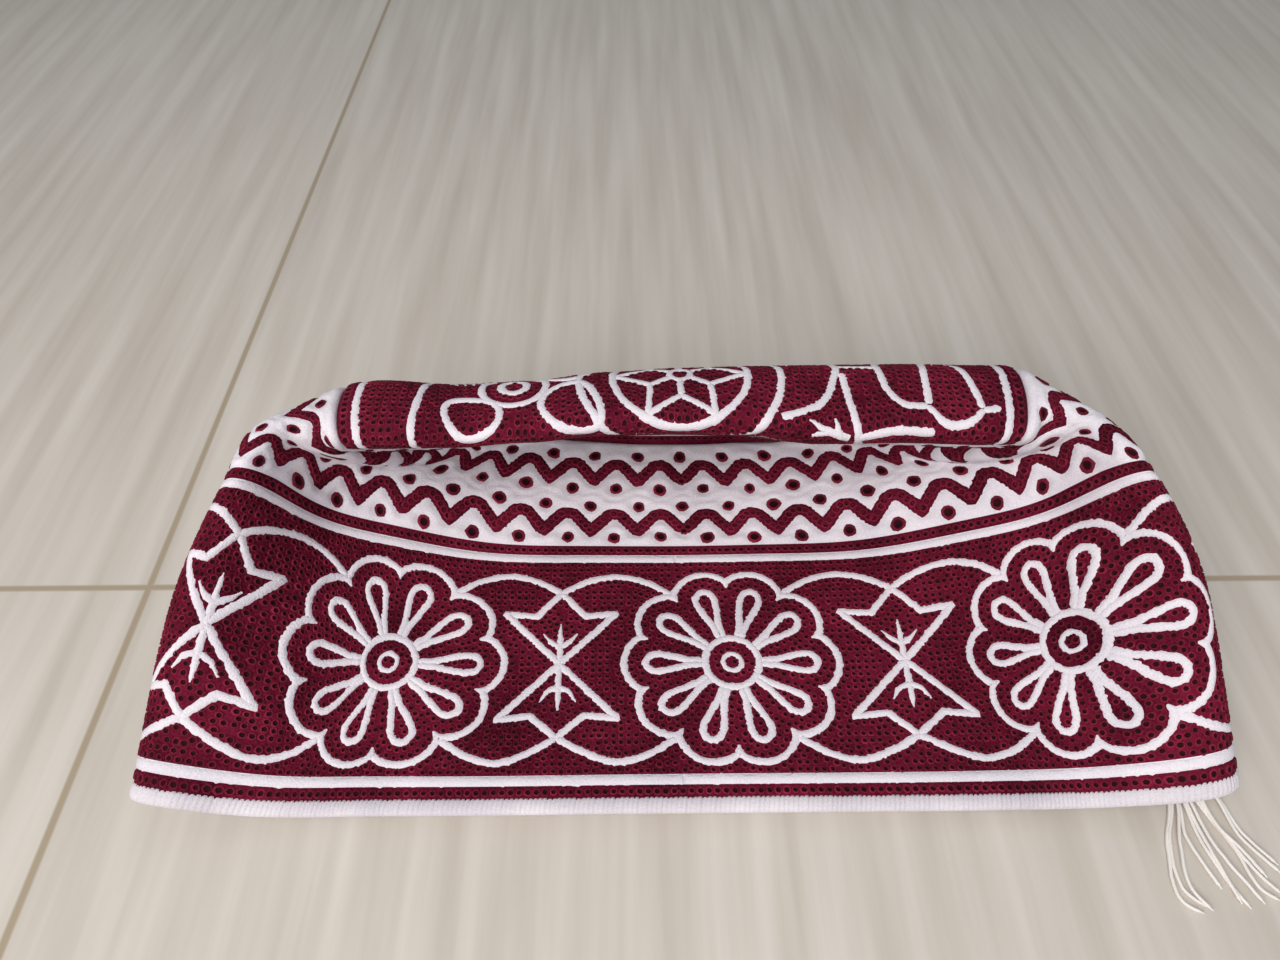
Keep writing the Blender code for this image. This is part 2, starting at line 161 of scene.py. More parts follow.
def loop_spline(knots, values, at):
    """A smooth closed curve through values at knots in 0 to 1, read at the places given."""
    n = len(knots)
    gap = np.diff(np.append(knots, knots[0] + 1.0))
    before = np.roll(gap, 1)
    slope = (np.roll(values, -1, axis=0) - values) / gap[:, None]
    matrix = np.zeros((n, n))
    for i in range(n):
        matrix[i, (i - 1) % n] += gap[i]
        matrix[i, i] += 2 * (gap[i] + before[i])
        matrix[i, (i + 1) % n] += before[i]
    right = 3 * (gap[:, None] * np.roll(slope, 1, axis=0) + before[:, None] * slope)
    tangent = np.linalg.solve(matrix, right)
    at = np.mod(at - knots[0], 1.0) + knots[0]
    cell = np.clip(np.searchsorted(knots, at, side="right") - 1, 0, n - 1)
    share = ((at - knots[cell]) / gap[cell])[:, None]
    following = (cell + 1) % n
    width = gap[cell][:, None]
    return hermite(share, width, values[cell], values[following], tangent[cell], tangent[following])


def open_spline(knots, values, at):
    """A smooth open curve through values at knots: no overshoot, and straight past both ends."""
    knots = np.asarray(knots, float)
    values = np.asarray(values, float)
    gap = np.diff(knots)
    slope = np.diff(values, axis=0) / gap.reshape(-1, *[1] * (values.ndim - 1))
    tangent = np.zeros_like(values)
    same = slope[:-1] * slope[1:] > 0
    total = np.where(same, slope[:-1] + slope[1:], 1.0)
    tangent[1:-1] = np.where(same, 2 * slope[:-1] * slope[1:] / total, 0.0)
    tangent[0] = slope[0]
    tangent[-1] = slope[-1]
    cell = np.clip(np.searchsorted(knots, at, side="right") - 1, 0, len(knots) - 2)
    shape = (-1,) + (1,) * (values.ndim - 1)
    width = gap[cell].reshape(shape)
    share = ((at - knots[cell]) / gap[cell]).reshape(shape)
    inside = np.clip(share, 0, 1)
    curve = hermite(inside, width, values[cell], values[cell + 1], tangent[cell], tangent[cell + 1])
    past = np.where(share > 1, tangent[cell + 1], tangent[cell])
    return curve + (share - inside) * width * past


HALF_PROFILE = 200
profile_along = np.linspace(-1.0, 1.0, 2 * HALF_PROFILE + 1)


def between(raw, front, middle, back):
    """The raw cross-section stretched so that its ends and its middle fall where they should."""
    centre = raw[HALF_PROFILE]
    fore = middle + (raw - centre) * (front - middle) / (raw[0] - centre)
    aft = middle + (raw - centre) * (back - middle) / (raw[-1] - centre)
    return np.where(profile_along <= 0, fore, aft)


profiles_back = []
profiles_up = []
for headings, middle_back, middle_up in zip(CROWN_HEADING, MIDDLE_BACK, MIDDLE_UP):
    heading = np.radians(np.interp(profile_along, CROWN_ALONG, headings))
    half_way = heading[:-1] + np.diff(heading) / 2
    run = np.concatenate([[0.0], np.cumsum(np.cos(half_way))])
    rise = np.concatenate([[0.0], np.cumsum(np.sin(half_way))])
    profiles_back.append(between(run, FRONT_EDGE[0], middle_back, BACK_EDGE[0]) * SIDE_HEIGHT)
    profiles_up.append(between(rise, FRONT_EDGE[1], middle_up, BACK_EDGE[1]) * RIDGE_HEIGHT)


def crown_point(across, along):
    """A point of the bent crown disc, from its flat place: across is sideways, along is front to back."""
    share = along / CROWN_RADIUS
    flat_share = np.clip(across / CROWN_RADIUS, -1, 1)
    back = np.zeros(share.shape)
    up = np.zeros(share.shape)
    last = len(CROWN_STATIONS) - 1
    cell = np.clip(np.searchsorted(CROWN_STATIONS, flat_share, side="right") - 1, 0, last - 1)
    stations = np.array(CROWN_STATIONS)
    part = (flat_share - stations[cell]) / (stations[cell + 1] - stations[cell])
    part = part * part * (3 - 2 * part)
    for k in range(last + 1):
        weight = np.where(cell == k, 1 - part, 0) + np.where(cell + 1 == k, part, 0)
        back += weight * np.interp(share, profile_along, profiles_back[k])
        up += weight * np.interp(share, profile_along, profiles_up[k])
    return np.stack([across, back, up], axis=-1)


shares = np.array(STATIONS)
knots = np.concatenate([shares, 2 - shares[::-1], 2 + shares[1:], 4 - shares[:0:-1]]) / 4
hand = np.concatenate([np.ones(12), -np.ones(10)])
layer = np.concatenate([np.zeros(6, int), np.ones(11, int), np.zeros(5, int)])
station = np.concatenate([np.arange(6), np.arange(5, -1, -1), np.arange(1, 6), np.arange(5, 0, -1)])
across = np.array((FRONT_ACROSS, BACK_ACROSS))[layer, :, station] * hand[:, None] * QUARTER
back = np.array((FRONT_BACK, BACK_BACK))[layer, :, station] * SIDE_HEIGHT
lift = np.array((FRONT_UP, BACK_UP))[layer, :, station] * RIDGE_HEIGHT
near_left = np.clip((-across / QUARTER - END_START) / END_SPAN, 0, 1)
near_right = np.clip((across / QUARTER - END_START) / END_SPAN, 0, 1)
across = across + near_left * np.array(LEFT_IN)
under = layer[:, None]
back = (
    back + under * (near_left + near_right) * np.array(END_BACK)
    + under * near_right * np.array(RIGHT_BACK)
)
held = np.stack([across, back, np.maximum(lift, CLOTH / 2)], axis=-1)
turn_start = np.where(layer == 0, np.array(TURN_START)[station], TURN_START[-1]) * SIDE_HEIGHT
strength = np.where(layer == 0, np.array(TURN_STRENGTH)[station], 0.0)

around = np.arange(COLUMNS) / COLUMNS
angle = around * 2 * math.pi
start = loop_spline(knots, turn_start[:, None], around)[:, 0]
depth = np.clip(loop_spline(knots, strength[:, None], around), 0, 1)
turn_span = TURN_LENGTH * SIDE_HEIGHT
end = start + turn_span
slope = crown_point(np.zeros(2), np.array([-1.0, -0.6]) * CROWN_RADIUS)
slope = (slope[1] - slope[0]) / np.linalg.norm(slope[1] - slope[0])
half_turn = math.radians(FIRST_HEADING) / 2
turn_chord = turn_span * TURN_CHORD * np.array([0.0, math.cos(half_turn), math.sin(half_turn)])
seam = crown_point(CROWN_RADIUS * np.sin(angle), -CROWN_RADIUS * np.cos(angle))
inward = CROWN_RADIUS + SIDE_HEIGHT - end
past_seam = crown_point(inward * np.sin(angle), -inward * np.cos(angle))
turn_end = np.where((end > SIDE_HEIGHT)[:, None], past_seam, seam - (SIDE_HEIGHT - end)[:, None] * slope)
rows = [loop_spline(knots, held[:, i], around) for i in range(len(ROWS))]
last_row = ROWS[-1] * SIDE_HEIGHT
plain_start = rows[-1] + (seam - rows[-1]) * ((start - last_row) / (SIDE_HEIGHT - last_row))[:, None]
plain_end = rows[-1] + (seam - rows[-1]) * ((end - last_row) / (SIDE_HEIGHT - last_row))[:, None]
turn_begin = depth * (turn_end - turn_chord) + (1 - depth) * plain_start
turn_end = depth * turn_end + (1 - depth) * plain_end
rows = np.stack(rows + [turn_begin])
first = rows[-1] - rows[-2]
first /= np.linalg.norm(first, axis=1)[:, None]
last = depth * slope + (1 - depth) * first
pull = turn_span * (TURN_PULL * depth + (1 - depth))


def column_path(i, along):
    """The unrounded side wall of one column, below the crown seam."""
    stops = np.append(np.array(ROWS) * SIDE_HEIGHT, start[i])
    points = open_spline(stops, rows[:, i], np.minimum(along, start[i]))
    t = np.clip((along - start[i]) / turn_span, 0, 1)[:, None]
    turning = hermite(t, pull[i], turn_begin[i], turn_end[i], first[i], last[i])
    rest = np.clip((along - end[i]) / max(SIDE_HEIGHT - end[i], 1e-6), 0, 1)[:, None]
    straight = turn_end[i] + (seam[i] - turn_end[i]) * rest
    points = np.where((along > start[i])[:, None], turning, points)
    return np.where((along > end[i])[:, None], straight, points)


grid_along = np.arange(0.0, SIDE_HEIGHT + CROWN_RADIUS, GRID_STEP)
total = np.zeros((len(grid_along), COLUMNS, 3))
near_seam = np.clip((SOFT_END - grid_along / SIDE_HEIGHT) / SOFT_FADE, 0, 1)
off_rim = np.clip((grid_along / SIDE_HEIGHT - SOFT_START) / SOFT_GROWTH, 0, 1)
spread = FOLD_SOFTNESS * (near_seam * off_rim)[:, None] * (1 - TIGHT_TURN * depth[:, 0])[None, :]
TAPS = ((-1.0, 1), (-0.5, 2), (0.0, 2), (0.5, 2), (1.0, 1))
for tap, weight in TAPS:
    along = grid_along[:, None] + tap * spread
    radius = CROWN_RADIUS + SIDE_HEIGHT - along
    on_crown = crown_point(radius * np.sin(angle), -radius * np.cos(angle))
    for i in range(COLUMNS):
        crown_here = (along[:, i] > end[i]) & (along[:, i] >= SIDE_HEIGHT)
        here = np.where(crown_here[:, None], on_crown[:, i], column_path(i, along[:, i]))
        total[:, i] += weight * here
cloth_grid = total / sum(weight for tap, weight in TAPS) - np.array(CAD_SHIFT)
cloth_grid[:, :, 2] = np.maximum(cloth_grid[:, :, 2], CLOTH / 2 + EMBROIDERY)
sideways = np.roll(cloth_grid, -1, axis=1) - np.roll(cloth_grid, 1, axis=1)
out_grid = np.cross(sideways, np.gradient(cloth_grid, axis=0))
out_grid /= np.linalg.norm(out_grid, axis=2)[:, :, None] + 1e-12
GIRTH_MM = GIRTH * 1000
SIDE_MM = SIDE_HEIGHT * 1000
CROWN_MM = CROWN_RADIUS * 1000
WALL_MM = CLOTH * 500


def place(s, t, height):
    """Points s mm round the cap and t mm up from the rim edge, height mm outside the cloth's middle."""
    column = np.mod(s / GIRTH_MM, 1.0) * COLUMNS
    left = np.floor(column).astype(int)
    side_share = (column - left)[..., None]
    left = left % COLUMNS
    right = (left + 1) % COLUMNS
    row = np.clip(t / 1000 / GRID_STEP, 0, len(grid_along) - 1.001)
    low = np.floor(row).astype(int)
    up_share = (row - low)[..., None]
    found = []
    for grid in (cloth_grid, out_grid):
        lower = grid[low, left] * (1 - side_share) + grid[low, right] * side_share
        upper = grid[low + 1, left] * (1 - side_share) + grid[low + 1, right] * side_share
        found.append(lower * (1 - up_share) + upper * up_share)
    points = found[0] + found[1] * (np.asarray(height) / 1000)[..., None]
    points[..., 2] = np.maximum(points[..., 2], LOWEST)
    return points


def crown_place(x, y, height):
    """The same for a spot of the flat crown disc: x mm to the right of its middle, y mm towards the back."""
    s = np.arctan2(x, -y) / (2 * math.pi) * GIRTH_MM
    return place(s, SIDE_MM + CROWN_MM - np.hypot(x, y), height)


def sheet_points(rows, height):
    """Points of the cloth at every column of the grid and the given rows, from the rim edge up."""
    s, t = np.meshgrid(np.arange(COLUMNS) * GIRTH_MM / COLUMNS, rows)
    return place(s, t, np.broadcast_to(height, s.shape))


def new_piece(name, points, faces, material):
    """A mesh piece with the given material, which rides on the cap."""
    mesh = bpy.data.meshes.new(name)
    mesh.from_pydata(np.asarray(points).reshape(-1, 3).tolist(), [], faces)
    mesh.polygons.foreach_set("use_smooth", np.ones(len(mesh.polygons), bool))
    mesh.materials.append(material)
    obj = bpy.data.objects.new(name, mesh)
    bpy.context.scene.collection.objects.link(obj)
    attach(obj, "root")
    return obj


def add_node(material, kind, values=(), **settings):
    """A new node of a material, with its settings and with the plain values of its inputs."""
    node = material.node_tree.nodes.new(kind)
    for name, value in settings.items():
        setattr(node, name, value)
    for socket, value in values:
        node.inputs[socket].default_value = value
    return node


def new_material(name, values):
    """A material with plain values on its shader, its shader, and the call that links two sockets."""
    material = bpy.data.materials.new(name)
    material.use_nodes = True
    shader = material.node_tree.nodes["Principled BSDF"]
    for socket, value in values:
        shader.inputs[socket].default_value = value
    return material, shader, material.node_tree.links.new


PATCH_SCALE = 55.0          # of the soft patches of tone, per metre
PATCH_RANGE = (0.36, 0.64)  # the noise values where a patch is quite dark and quite light
THREAD_HEIGHT = 0.0004      # of the thread bump
SHEEN_ROUGHNESS = 0.45


def fabric(name, dark, light, roughness, thread_size, bump, sheen, gloss=0.25):
    """Cotton: two colours mixed by soft patches, a fine thread bump and a little sheen."""
    material, shader, link = new_material(name, (
        ("Roughness", roughness), ("Sheen Weight", sheen), ("Sheen Roughness", SHEEN_ROUGHNESS),
        ("Specular IOR Level", gloss),
    ))
    where = add_node(material, "ShaderNodeTexCoord")
    patches = add_node(material, "ShaderNodeTexNoise", (("Scale", PATCH_SCALE), ("Detail", 6.0)))
    threads = add_node(material, "ShaderNodeTexNoise", (("Scale", 1.0 / thread_size), ("Detail", 3.0)))
    half = add_node(material, "ShaderNodeMath", ((1, 0.5),), operation="MULTIPLY")
    both = add_node(material, "ShaderNodeMath", ((1, 0.5),), operation="MULTIPLY_ADD")
    tone = add_node(material, "ShaderNodeMapRange", zip(("From Min", "From Max"), PATCH_RANGE))
    colours = (("A", (*dark, 1.0)), ("B", (*light, 1.0)))
    mix = add_node(material, "ShaderNodeMix", colours, data_type="RGBA")
    relief = add_node(material, "ShaderNodeBump", (("Strength", bump), ("Distance", THREAD_HEIGHT)))
    link(where.outputs["Object"], patches.inputs["Vector"])
    link(where.outputs["Object"], threads.inputs["Vector"])
    link(threads.outputs["Fac"], half.inputs[0])
    link(patches.outputs["Fac"], both.inputs[0])
    link(half.outputs[0], both.inputs[2])
    link(both.outputs[0], tone.inputs["Value"])
    link(tone.outputs["Result"], mix.inputs["Factor"])
    link(mix.outputs["Result"], shader.inputs["Base Color"])
    link(threads.outputs["Fac"], relief.inputs["Height"])
    link(relief.outputs["Normal"], shader.inputs["Normal"])
    return material


def ring_faces(rows, columns, start_at=0):
    """Quads of a grid of rows by columns of points whose columns close round the cap."""
    faces = []
    for r in range(rows - 1):
        for i in range(columns):
            j = (i + 1) % columns
            below = start_at + r * columns
            above = below + columns
            faces.append((below + i, below + j, above + j, above + i))
    return faces


# The pattern's lines on the side, on the flat cloth: s runs round the cap from the front
# middle to the right, and t up from the rim edge, both in millimetres.
DAISIES = 6
TEETH = 40
REPEAT = GIRTH_MM / DAISIES
ZIGZAG = GIRTH_MM / TEETH
WRAP = 20.0                # how far the pattern is repeated past the ends of the girth
DAISY_START = 14.0         # the daisy in the front middle
DAISY_HEIGHT = 41.2
LINE = 2.1                 # width of the white lines
PETALS = 10
WIDE_DAISY = 1.09          # the daisy on the left of the front is wider than the others
NARROW_WINGS = 0.78        # and the wings beyond it are narrower
SHORT_ARCS = 0.955         # the arcs that meet the wide daisy are shorter
HEART = 2.5                # radius of the ring in a daisy's middle
HEART_LINE = 1.5
PETAL_RING = 7.4           # radius of the ring that the petals start from
PETAL = ((8.0, 0.6), (12.0, 0.85), (15.0, 1.6), (18.0, 2.3), (20.5, 2.65), (22.5, 2.0), (23.6, 0.0))
PETAL_TURN = 360 / PETALS  # degrees from one petal to the next
SCALLOPS = (25.8, 3.7)     # radius where two scallops meet, and how far they stand out from it
SCALLOP_FILLET = ((23.9, 0.5), (26.2, 2.6))   # radius and width of the wedge where they meet
ARC_RADIUS = 27.0          # at which the arcs of the wings meet a daisy
ARC_ANGLE = math.radians(54)   # on the daisy's outline, above and below its middle
LINE_ROWS = (8.3, 75.6)    # the two white lines that run all round
LINE_ROW_WIDTHS = (2.7, 2.6)
ZIGZAG_START = 2.7
SAMPLE = 0.6               # between two points of a line


def resample(points, closed=False, step=SAMPLE):
    """Evenly spaced points along a polyline. A third column, the width there, is carried along."""
    points = np.asarray(points, float)
    if closed:
        points = np.concatenate([points, points[:1]])
    lengths = np.linalg.norm(np.diff(points[:, :2], axis=0), axis=1)
    along = np.concatenate([[0.0], np.cumsum(lengths)])
    count = max(int(along[-1] / step), 3)
    at = np.linspace(0, along[-1], count + 1)
    if closed:
        at = at[:-1]
    return np.stack([np.interp(at, along, points[:, i]) for i in range(points.shape[1])], axis=1)


def smooth(points, closed=False, step=SAMPLE):
    """Evenly spaced points along a smooth curve through the points."""
    points = np.asarray(points, float)
    lengths = np.linalg.norm(np.diff(points[:, :2], axis=0), axis=1)
    if closed:
        last_gap = np.linalg.norm(points[0, :2] - points[-1, :2])
        whole = np.concatenate([[0.0], np.cumsum(lengths)]) / (lengths.sum() + last_gap)
        at = np.linspace(0, 1, int((lengths.sum() + last_gap) * 4), endpoint=False)
        return resample(loop_spline(whole, points, at), True, step)
    along = np.concatenate([[0.0], np.cumsum(lengths)])
    count = max(int(along[-1] * 4), 8)
    dense = np.linspace(0, along[-1], count)
    turns = np.gradient(points, along, axis=0)
    cell = np.clip(np.searchsorted(along, dense, side="right") - 1, 0, len(along) - 2)
    gap = (along[cell + 1] - along[cell])[:, None]
    share = (dense[:, None] - along[cell][:, None]) / gap
    curve = hermite(share, gap, points[cell], points[cell + 1], turns[cell], turns[cell + 1])
    return resample(curve, False, step)


def circle(x, y, radius):
    """Evenly spaced points round a circle."""
    count = int(2 * math.pi * radius / SAMPLE)
    turn = np.arange(count) / count * 2 * math.pi
    return np.stack([x + radius * np.cos(turn), y + radius * np.sin(turn)], axis=1)


def daisy(x, y, wide):
    """Strokes of one daisy, stretched sideways by a share: (points, width, closed)."""
    strokes = [(circle(x, y, HEART), HEART_LINE, True), (circle(x, y, PETAL_RING), LINE, True)]
    for k in range(PETALS):
        turn = math.radians(PETAL_TURN * k)
        lengthways = np.array([math.cos(turn), math.sin(turn)])
        crossways = np.array([-lengthways[1], lengthways[0]])
        one_side = [np.array([x, y]) + r * lengthways + w * crossways for r, w in PETAL]
        other = [np.array([x, y]) + r * lengthways - w * crossways for r, w in PETAL[-2::-1]]
        strokes.append((smooth(one_side + other), LINE, False))
    turn = np.linspace(0, 2 * math.pi, 420, endpoint=False)
    radius = SCALLOPS[0] + SCALLOPS[1] * np.abs(np.cos(PETALS / 2 * turn)) ** 0.75
    outline = np.stack([x + radius * np.cos(turn), y + radius * np.sin(turn)], axis=1)
    strokes.append((resample(outline, True), LINE, True))
    for k in range(PETALS):
        turn = math.radians(PETAL_TURN * (k + 0.5))
        wedge = [[x + r * math.cos(turn), y + r * math.sin(turn), w] for r, w in SCALLOP_FILLET]
        strokes.append((resample(wedge), None, False))
    for points, width, closed in strokes:
        points[:, 0] = x + (points[:, 0] - x) * wide
    return strokes


def butterfly(x, left_reach, right_reach, wing):
    """Strokes of one pair of wings with its twig, and of the arcs that reach the daisies beside it."""
    strokes = []
    for side in (-1, 1):
        upper = ((0, 63.6), (6.8, 56.0), (15.6, 56.8), (0, DAISY_HEIGHT))
        lower = ((0, DAISY_HEIGHT), (16.0, 25.0), (7.2, 26.0), (0, 19.7))
        for corners in (upper, lower):
            strokes.append((resample([(x + side * a * wing, b) for a, b in corners]), LINE, False))
        reach = ARC_RADIUS * math.cos(ARC_ANGLE)
        rise_to = ARC_RADIUS * math.sin(ARC_ANGLE)
        far = REPEAT / 2 - reach
        for up, crossing, top in ((1, 63.6, 69.2), (-1, 19.7, 13.1)):
            arc = ((0, crossing), (7.5, crossing + up * 4.0), (15.5, top), (24.0, top - up * 1.9),
                   (far, DAISY_HEIGHT + up * rise_to))
            stretch = left_reach if side < 0 else right_reach
            strokes.append((smooth([(x + side * a * stretch, b) for a, b in arc]), LINE, False))
    stem = [(x, 27.4, 0.4), (x, 30.0, 1.5), (x, 34.5, 1.9), (x, 40.0, 1.7),
            (x, 46.0, 1.9), (x, 50.5, 1.3), (x, 53.6, 0.4)]
    strokes.append((resample(stem), None, False))
    for side in (-1, 1):
        upper = [(x, 46.3, 1.9), (x + side * 2.3, 47.7, 1.6), (x + side * 4.8, 50.4, 0.4)]
        lower = [(x, 34.2, 1.9), (x + side * 2.5, 33.2, 1.6), (x + side * 4.9, 29.8, 0.4)]
        strokes.append((smooth(upper), None, False))
        strokes.append((smooth(lower), None, False))
    return strokes


side_strokes = []
for k in range(DAISIES):
    last_one = k == DAISIES - 1
    middle = DAISY_START + (k - 0.5) * REPEAT
    left_arcs = SHORT_ARCS if k == 0 else 1.0
    right_arcs = SHORT_ARCS if last_one else 1.0
    side_strokes += daisy(DAISY_START + k * REPEAT, DAISY_HEIGHT, WIDE_DAISY if last_one else 1.0)
    side_strokes += butterfly(middle, left_arcs, right_arcs, NARROW_WINGS if last_one else 1.0)
all_round = np.arange(0, GIRTH_MM, SAMPLE * 1.5)
for row, width in zip(LINE_ROWS, LINE_ROW_WIDTHS):
    side_strokes.append((np.stack([all_round, np.full(len(all_round), row)], axis=1), width, True))


# The side cloth: one closed sheet from the overcast edge to the crown seam. The needlework field
# and its stripes are burgundy, the zone above them is plain white cloth that puffs between stitches.
STRIPE_EDGES = (3.6, 7.0, 9.7, 74.4, 77.1, 80.6, 120.2)   # burgundy, white, burgundy, and so on
UNDER_RIM = 0.3              # how far the cloth goes on under the overcast edge
ROW_STEPS = (0.65, 0.75, 1.5, 0.75, 0.8, 0.72)
ZIGZAGS = ((86.2, 92.8), (105.1, 111.4))     # lower and upper vertices
ZIGZAG_TOP = ((0.36, -0.5), (0.44, 0.0), (0.56, 0.0), (0.64, -0.5))   # a blunt top, over a tooth's length
DOT_ROWS = ((83.7, 0.5), (95.7, 0.0), (102.3, 0.5), (114.2, 0.0))
DOT_WANDER = 0.25
WAVE = (99.0, 1.3)                           # height and swing of the quilting line
QUILT_WIDTH = 0.7
PUFF = 0.55
FLAT_BY_STITCH = 2.2         # from a stitched line's middle to where the puff starts
PUFF_SPAN = 1.5              # and over which it grows to its height
CRINKLE = 0.035              # of the plain cloth, outside CRINKLE_CLEAR of the stitches
CRINKLE_CLEAR = 1.8
CRINKLE_GROWTH = 1.2
CRINKLE_WAVES = 14
CRINKLE_SPREAD = 0.7         # of their numbers, in radians per millimetre
ZONE_EDGE = 2.0              # over which the white zone rises from its seams
SEAM_DIP = 0.8
SEAM_WIDTH = 1.2
LINING_STEP = 4.0
LINING_END = 4.5             # under the overcast edge

zigzag_lines = []
for low_t, high_t in ZIGZAGS:
    corners = []
    for k in range(TEETH):
        s = ZIGZAG_START + k * ZIGZAG
        corners.append((s, low_t))
        corners += [(s + part * ZIGZAG, high_t + above) for part, above in ZIGZAG_TOP]
    corners.append((ZIGZAG_START + GIRTH_MM, low_t))
    zigzag_lines.append(resample(corners))
dots = []
for row, offset in DOT_ROWS:
    for k in range(TEETH):
        wander = noise.normal(0, DOT_WANDER, 2)
        dots.append((ZIGZAG_START + (k + offset) * ZIGZAG + wander[0], row + wander[1]))
dots = np.array(dots)
wave_s = np.arange(0, GIRTH_MM, 1.0)
wave_t = WAVE[0] + WAVE[1] * np.cos((wave_s - ZIGZAG_START) / ZIGZAG * 2 * math.pi)
wave_line = np.stack([wave_s, wave_t], axis=1)


def tree_of(points, wrap=True):
    """A nearest-point tree over flat points. With wrap, they repeat past both ends of the girth."""
    order = np.arange(len(points))
    if wrap:
        before = points[:, 0] > GIRTH_MM - WRAP
        after = points[:, 0] < WRAP
        shift = np.array([GIRTH_MM, 0])
        points = np.concatenate([points, points[before] - shift, points[after] + shift])
        order = np.concatenate([order, order[before], order[after]])
    tree = KDTree(len(points))
    for i, p in zip(order.tolist(), points):
        tree.insert((p[0], p[1], 0.0), i)
    tree.balance()
    return tree


def distances(tree, s, t):
    """How far each flat spot is from the nearest point of a tree."""
    flat = np.stack([np.ravel(s), np.ravel(t)], axis=1).tolist()
    found = [tree.find((a, b, 0.0))[2] for a, b in flat]
    return np.array(found).reshape(np.shape(s))


side_rows = [STRIPE_EDGES[0] - UNDER_RIM]
for low_t, high_t, step in zip(STRIPE_EDGES[:-1], STRIPE_EDGES[1:], ROW_STEPS):
    side_rows += np.linspace(low_t, high_t, int((high_t - low_t) / step), endpoint=False).tolist()
side_rows = np.array(side_rows + [STRIPE_EDGES[-1]])
grid_s, grid_t = np.meshgrid(np.arange(COLUMNS) * GIRTH_MM / COLUMNS, side_rows)
height = np.zeros(grid_s.shape)
plain = grid_t[:, 0] > STRIPE_EDGES[5]
stitched = tree_of(np.concatenate(zigzag_lines + [dots]))
quilting = tree_of(wave_line)
to_stitch = distances(stitched, grid_s[plain], grid_t[plain])
to_wave = distances(quilting, grid_s[plain], grid_t[plain])
puffed = PUFF * np.clip((to_stitch - FLAT_BY_STITCH) / PUFF_SPAN, 0, 1) ** 0.7
puffed -= 0.5 * PUFF * np.exp(-(to_wave / QUILT_WIDTH) ** 2)
crinkle = np.zeros(to_wave.shape)
for k in range(CRINKLE_WAVES):
    wave_number = noise.normal(0, CRINKLE_SPREAD, 2) + np.array([0.0, noise.choice([-0.5, 0.5])])
    phase = grid_s[plain] * wave_number[0] + grid_t[plain] * wave_number[1]
    crinkle += np.sin(phase + noise.uniform(0, 6.28))
puffed += CRINKLE * crinkle * np.clip((to_stitch - CRINKLE_CLEAR) / CRINKLE_GROWTH, 0, 1)
to_edge = np.minimum(grid_t[plain] - STRIPE_EDGES[5], STRIPE_EDGES[6] - grid_t[plain])
height[plain] = puffed * np.clip(to_edge / ZONE_EDGE, 0, 1)
height -= SEAM_DIP * np.clip(1 - (SIDE_MM - grid_t) / SEAM_WIDTH, 0, 1)
outside = sheet_points(side_rows, WALL_MM + height)
lining_rows = np.concatenate([np.arange(STRIPE_EDGES[-1], LINING_END, -LINING_STEP), [side_rows[0]]])
inside = sheet_points(lining_rows, -WALL_MM)
points = np.concatenate([outside.reshape(-1, 3), inside.reshape(-1, 3)])
faces = ring_faces(len(side_rows) + len(lining_rows), COLUMNS)
for i in range(COLUMNS):
    j = (i + 1) % COLUMNS
    end_row = len(points) - COLUMNS
    faces.append((end_row + i, end_row + j, j, i))

BURGUNDY_DARK = (0.040, 0.001, 0.007)
BURGUNDY_LIGHT = (0.175, 0.010, 0.034)
WHITE_DARK = (0.66, 0.62, 0.69)
WHITE_LIGHT = (0.84, 0.80, 0.86)
ground = fabric("burgundy_ground", BURGUNDY_DARK, BURGUNDY_LIGHT, 0.85, 0.0006, 1.0, 0.0, 0.06)
plain_white = fabric("plain_white_cloth", WHITE_DARK, WHITE_LIGHT, 0.85, 0.0005, 0.5, 0.2)
lining = fabric("cotton_lining", (0.55, 0.50, 0.56), (0.74, 0.70, 0.74), 0.9, 0.0008, 0.5, 0.1)
side = new_piece("side_cloth", points, faces, ground)
side.data.materials.append(plain_white)
side.data.materials.append(lining)
middles = (side_rows[:-1] + side_rows[1:]) / 2
row_kind = (np.maximum(np.searchsorted(STRIPE_EDGES, middles) - 1, 0) % 2).tolist()
row_kind += [1] + [2] * (len(lining_rows) - 1) + [1]
kinds = np.repeat(row_kind, COLUMNS)
side.data.polygons.foreach_set("material_index", kinds.astype(np.int32))
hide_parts("side_wall")


# The white lines of the side: raised strips with rough edges, where the cloth shows between
# the rows of needlework.
LINE_RISE = 0.32
ROUGH_EDGE = 0.16
LOW_BELOW = 0.8         # strips narrower than twice this are lower
STRIP_JITTER = 0.02
STRIP_END = 0.12        # keeps the rounded end of a strip from running to a point
SHARPEST = 1.9          # how far a corner's point may stand out
STRIP_ACROSS = np.array((-1.0, -0.72, 0.0, 0.72, 1.0))
STRIP_UP = np.array((-0.25, 0.82, 1.0, 0.82, -0.25))


def unit(vectors):
    """The same directions with length one."""
    return vectors / (np.linalg.norm(vectors, axis=1)[:, None] + 1e-9)


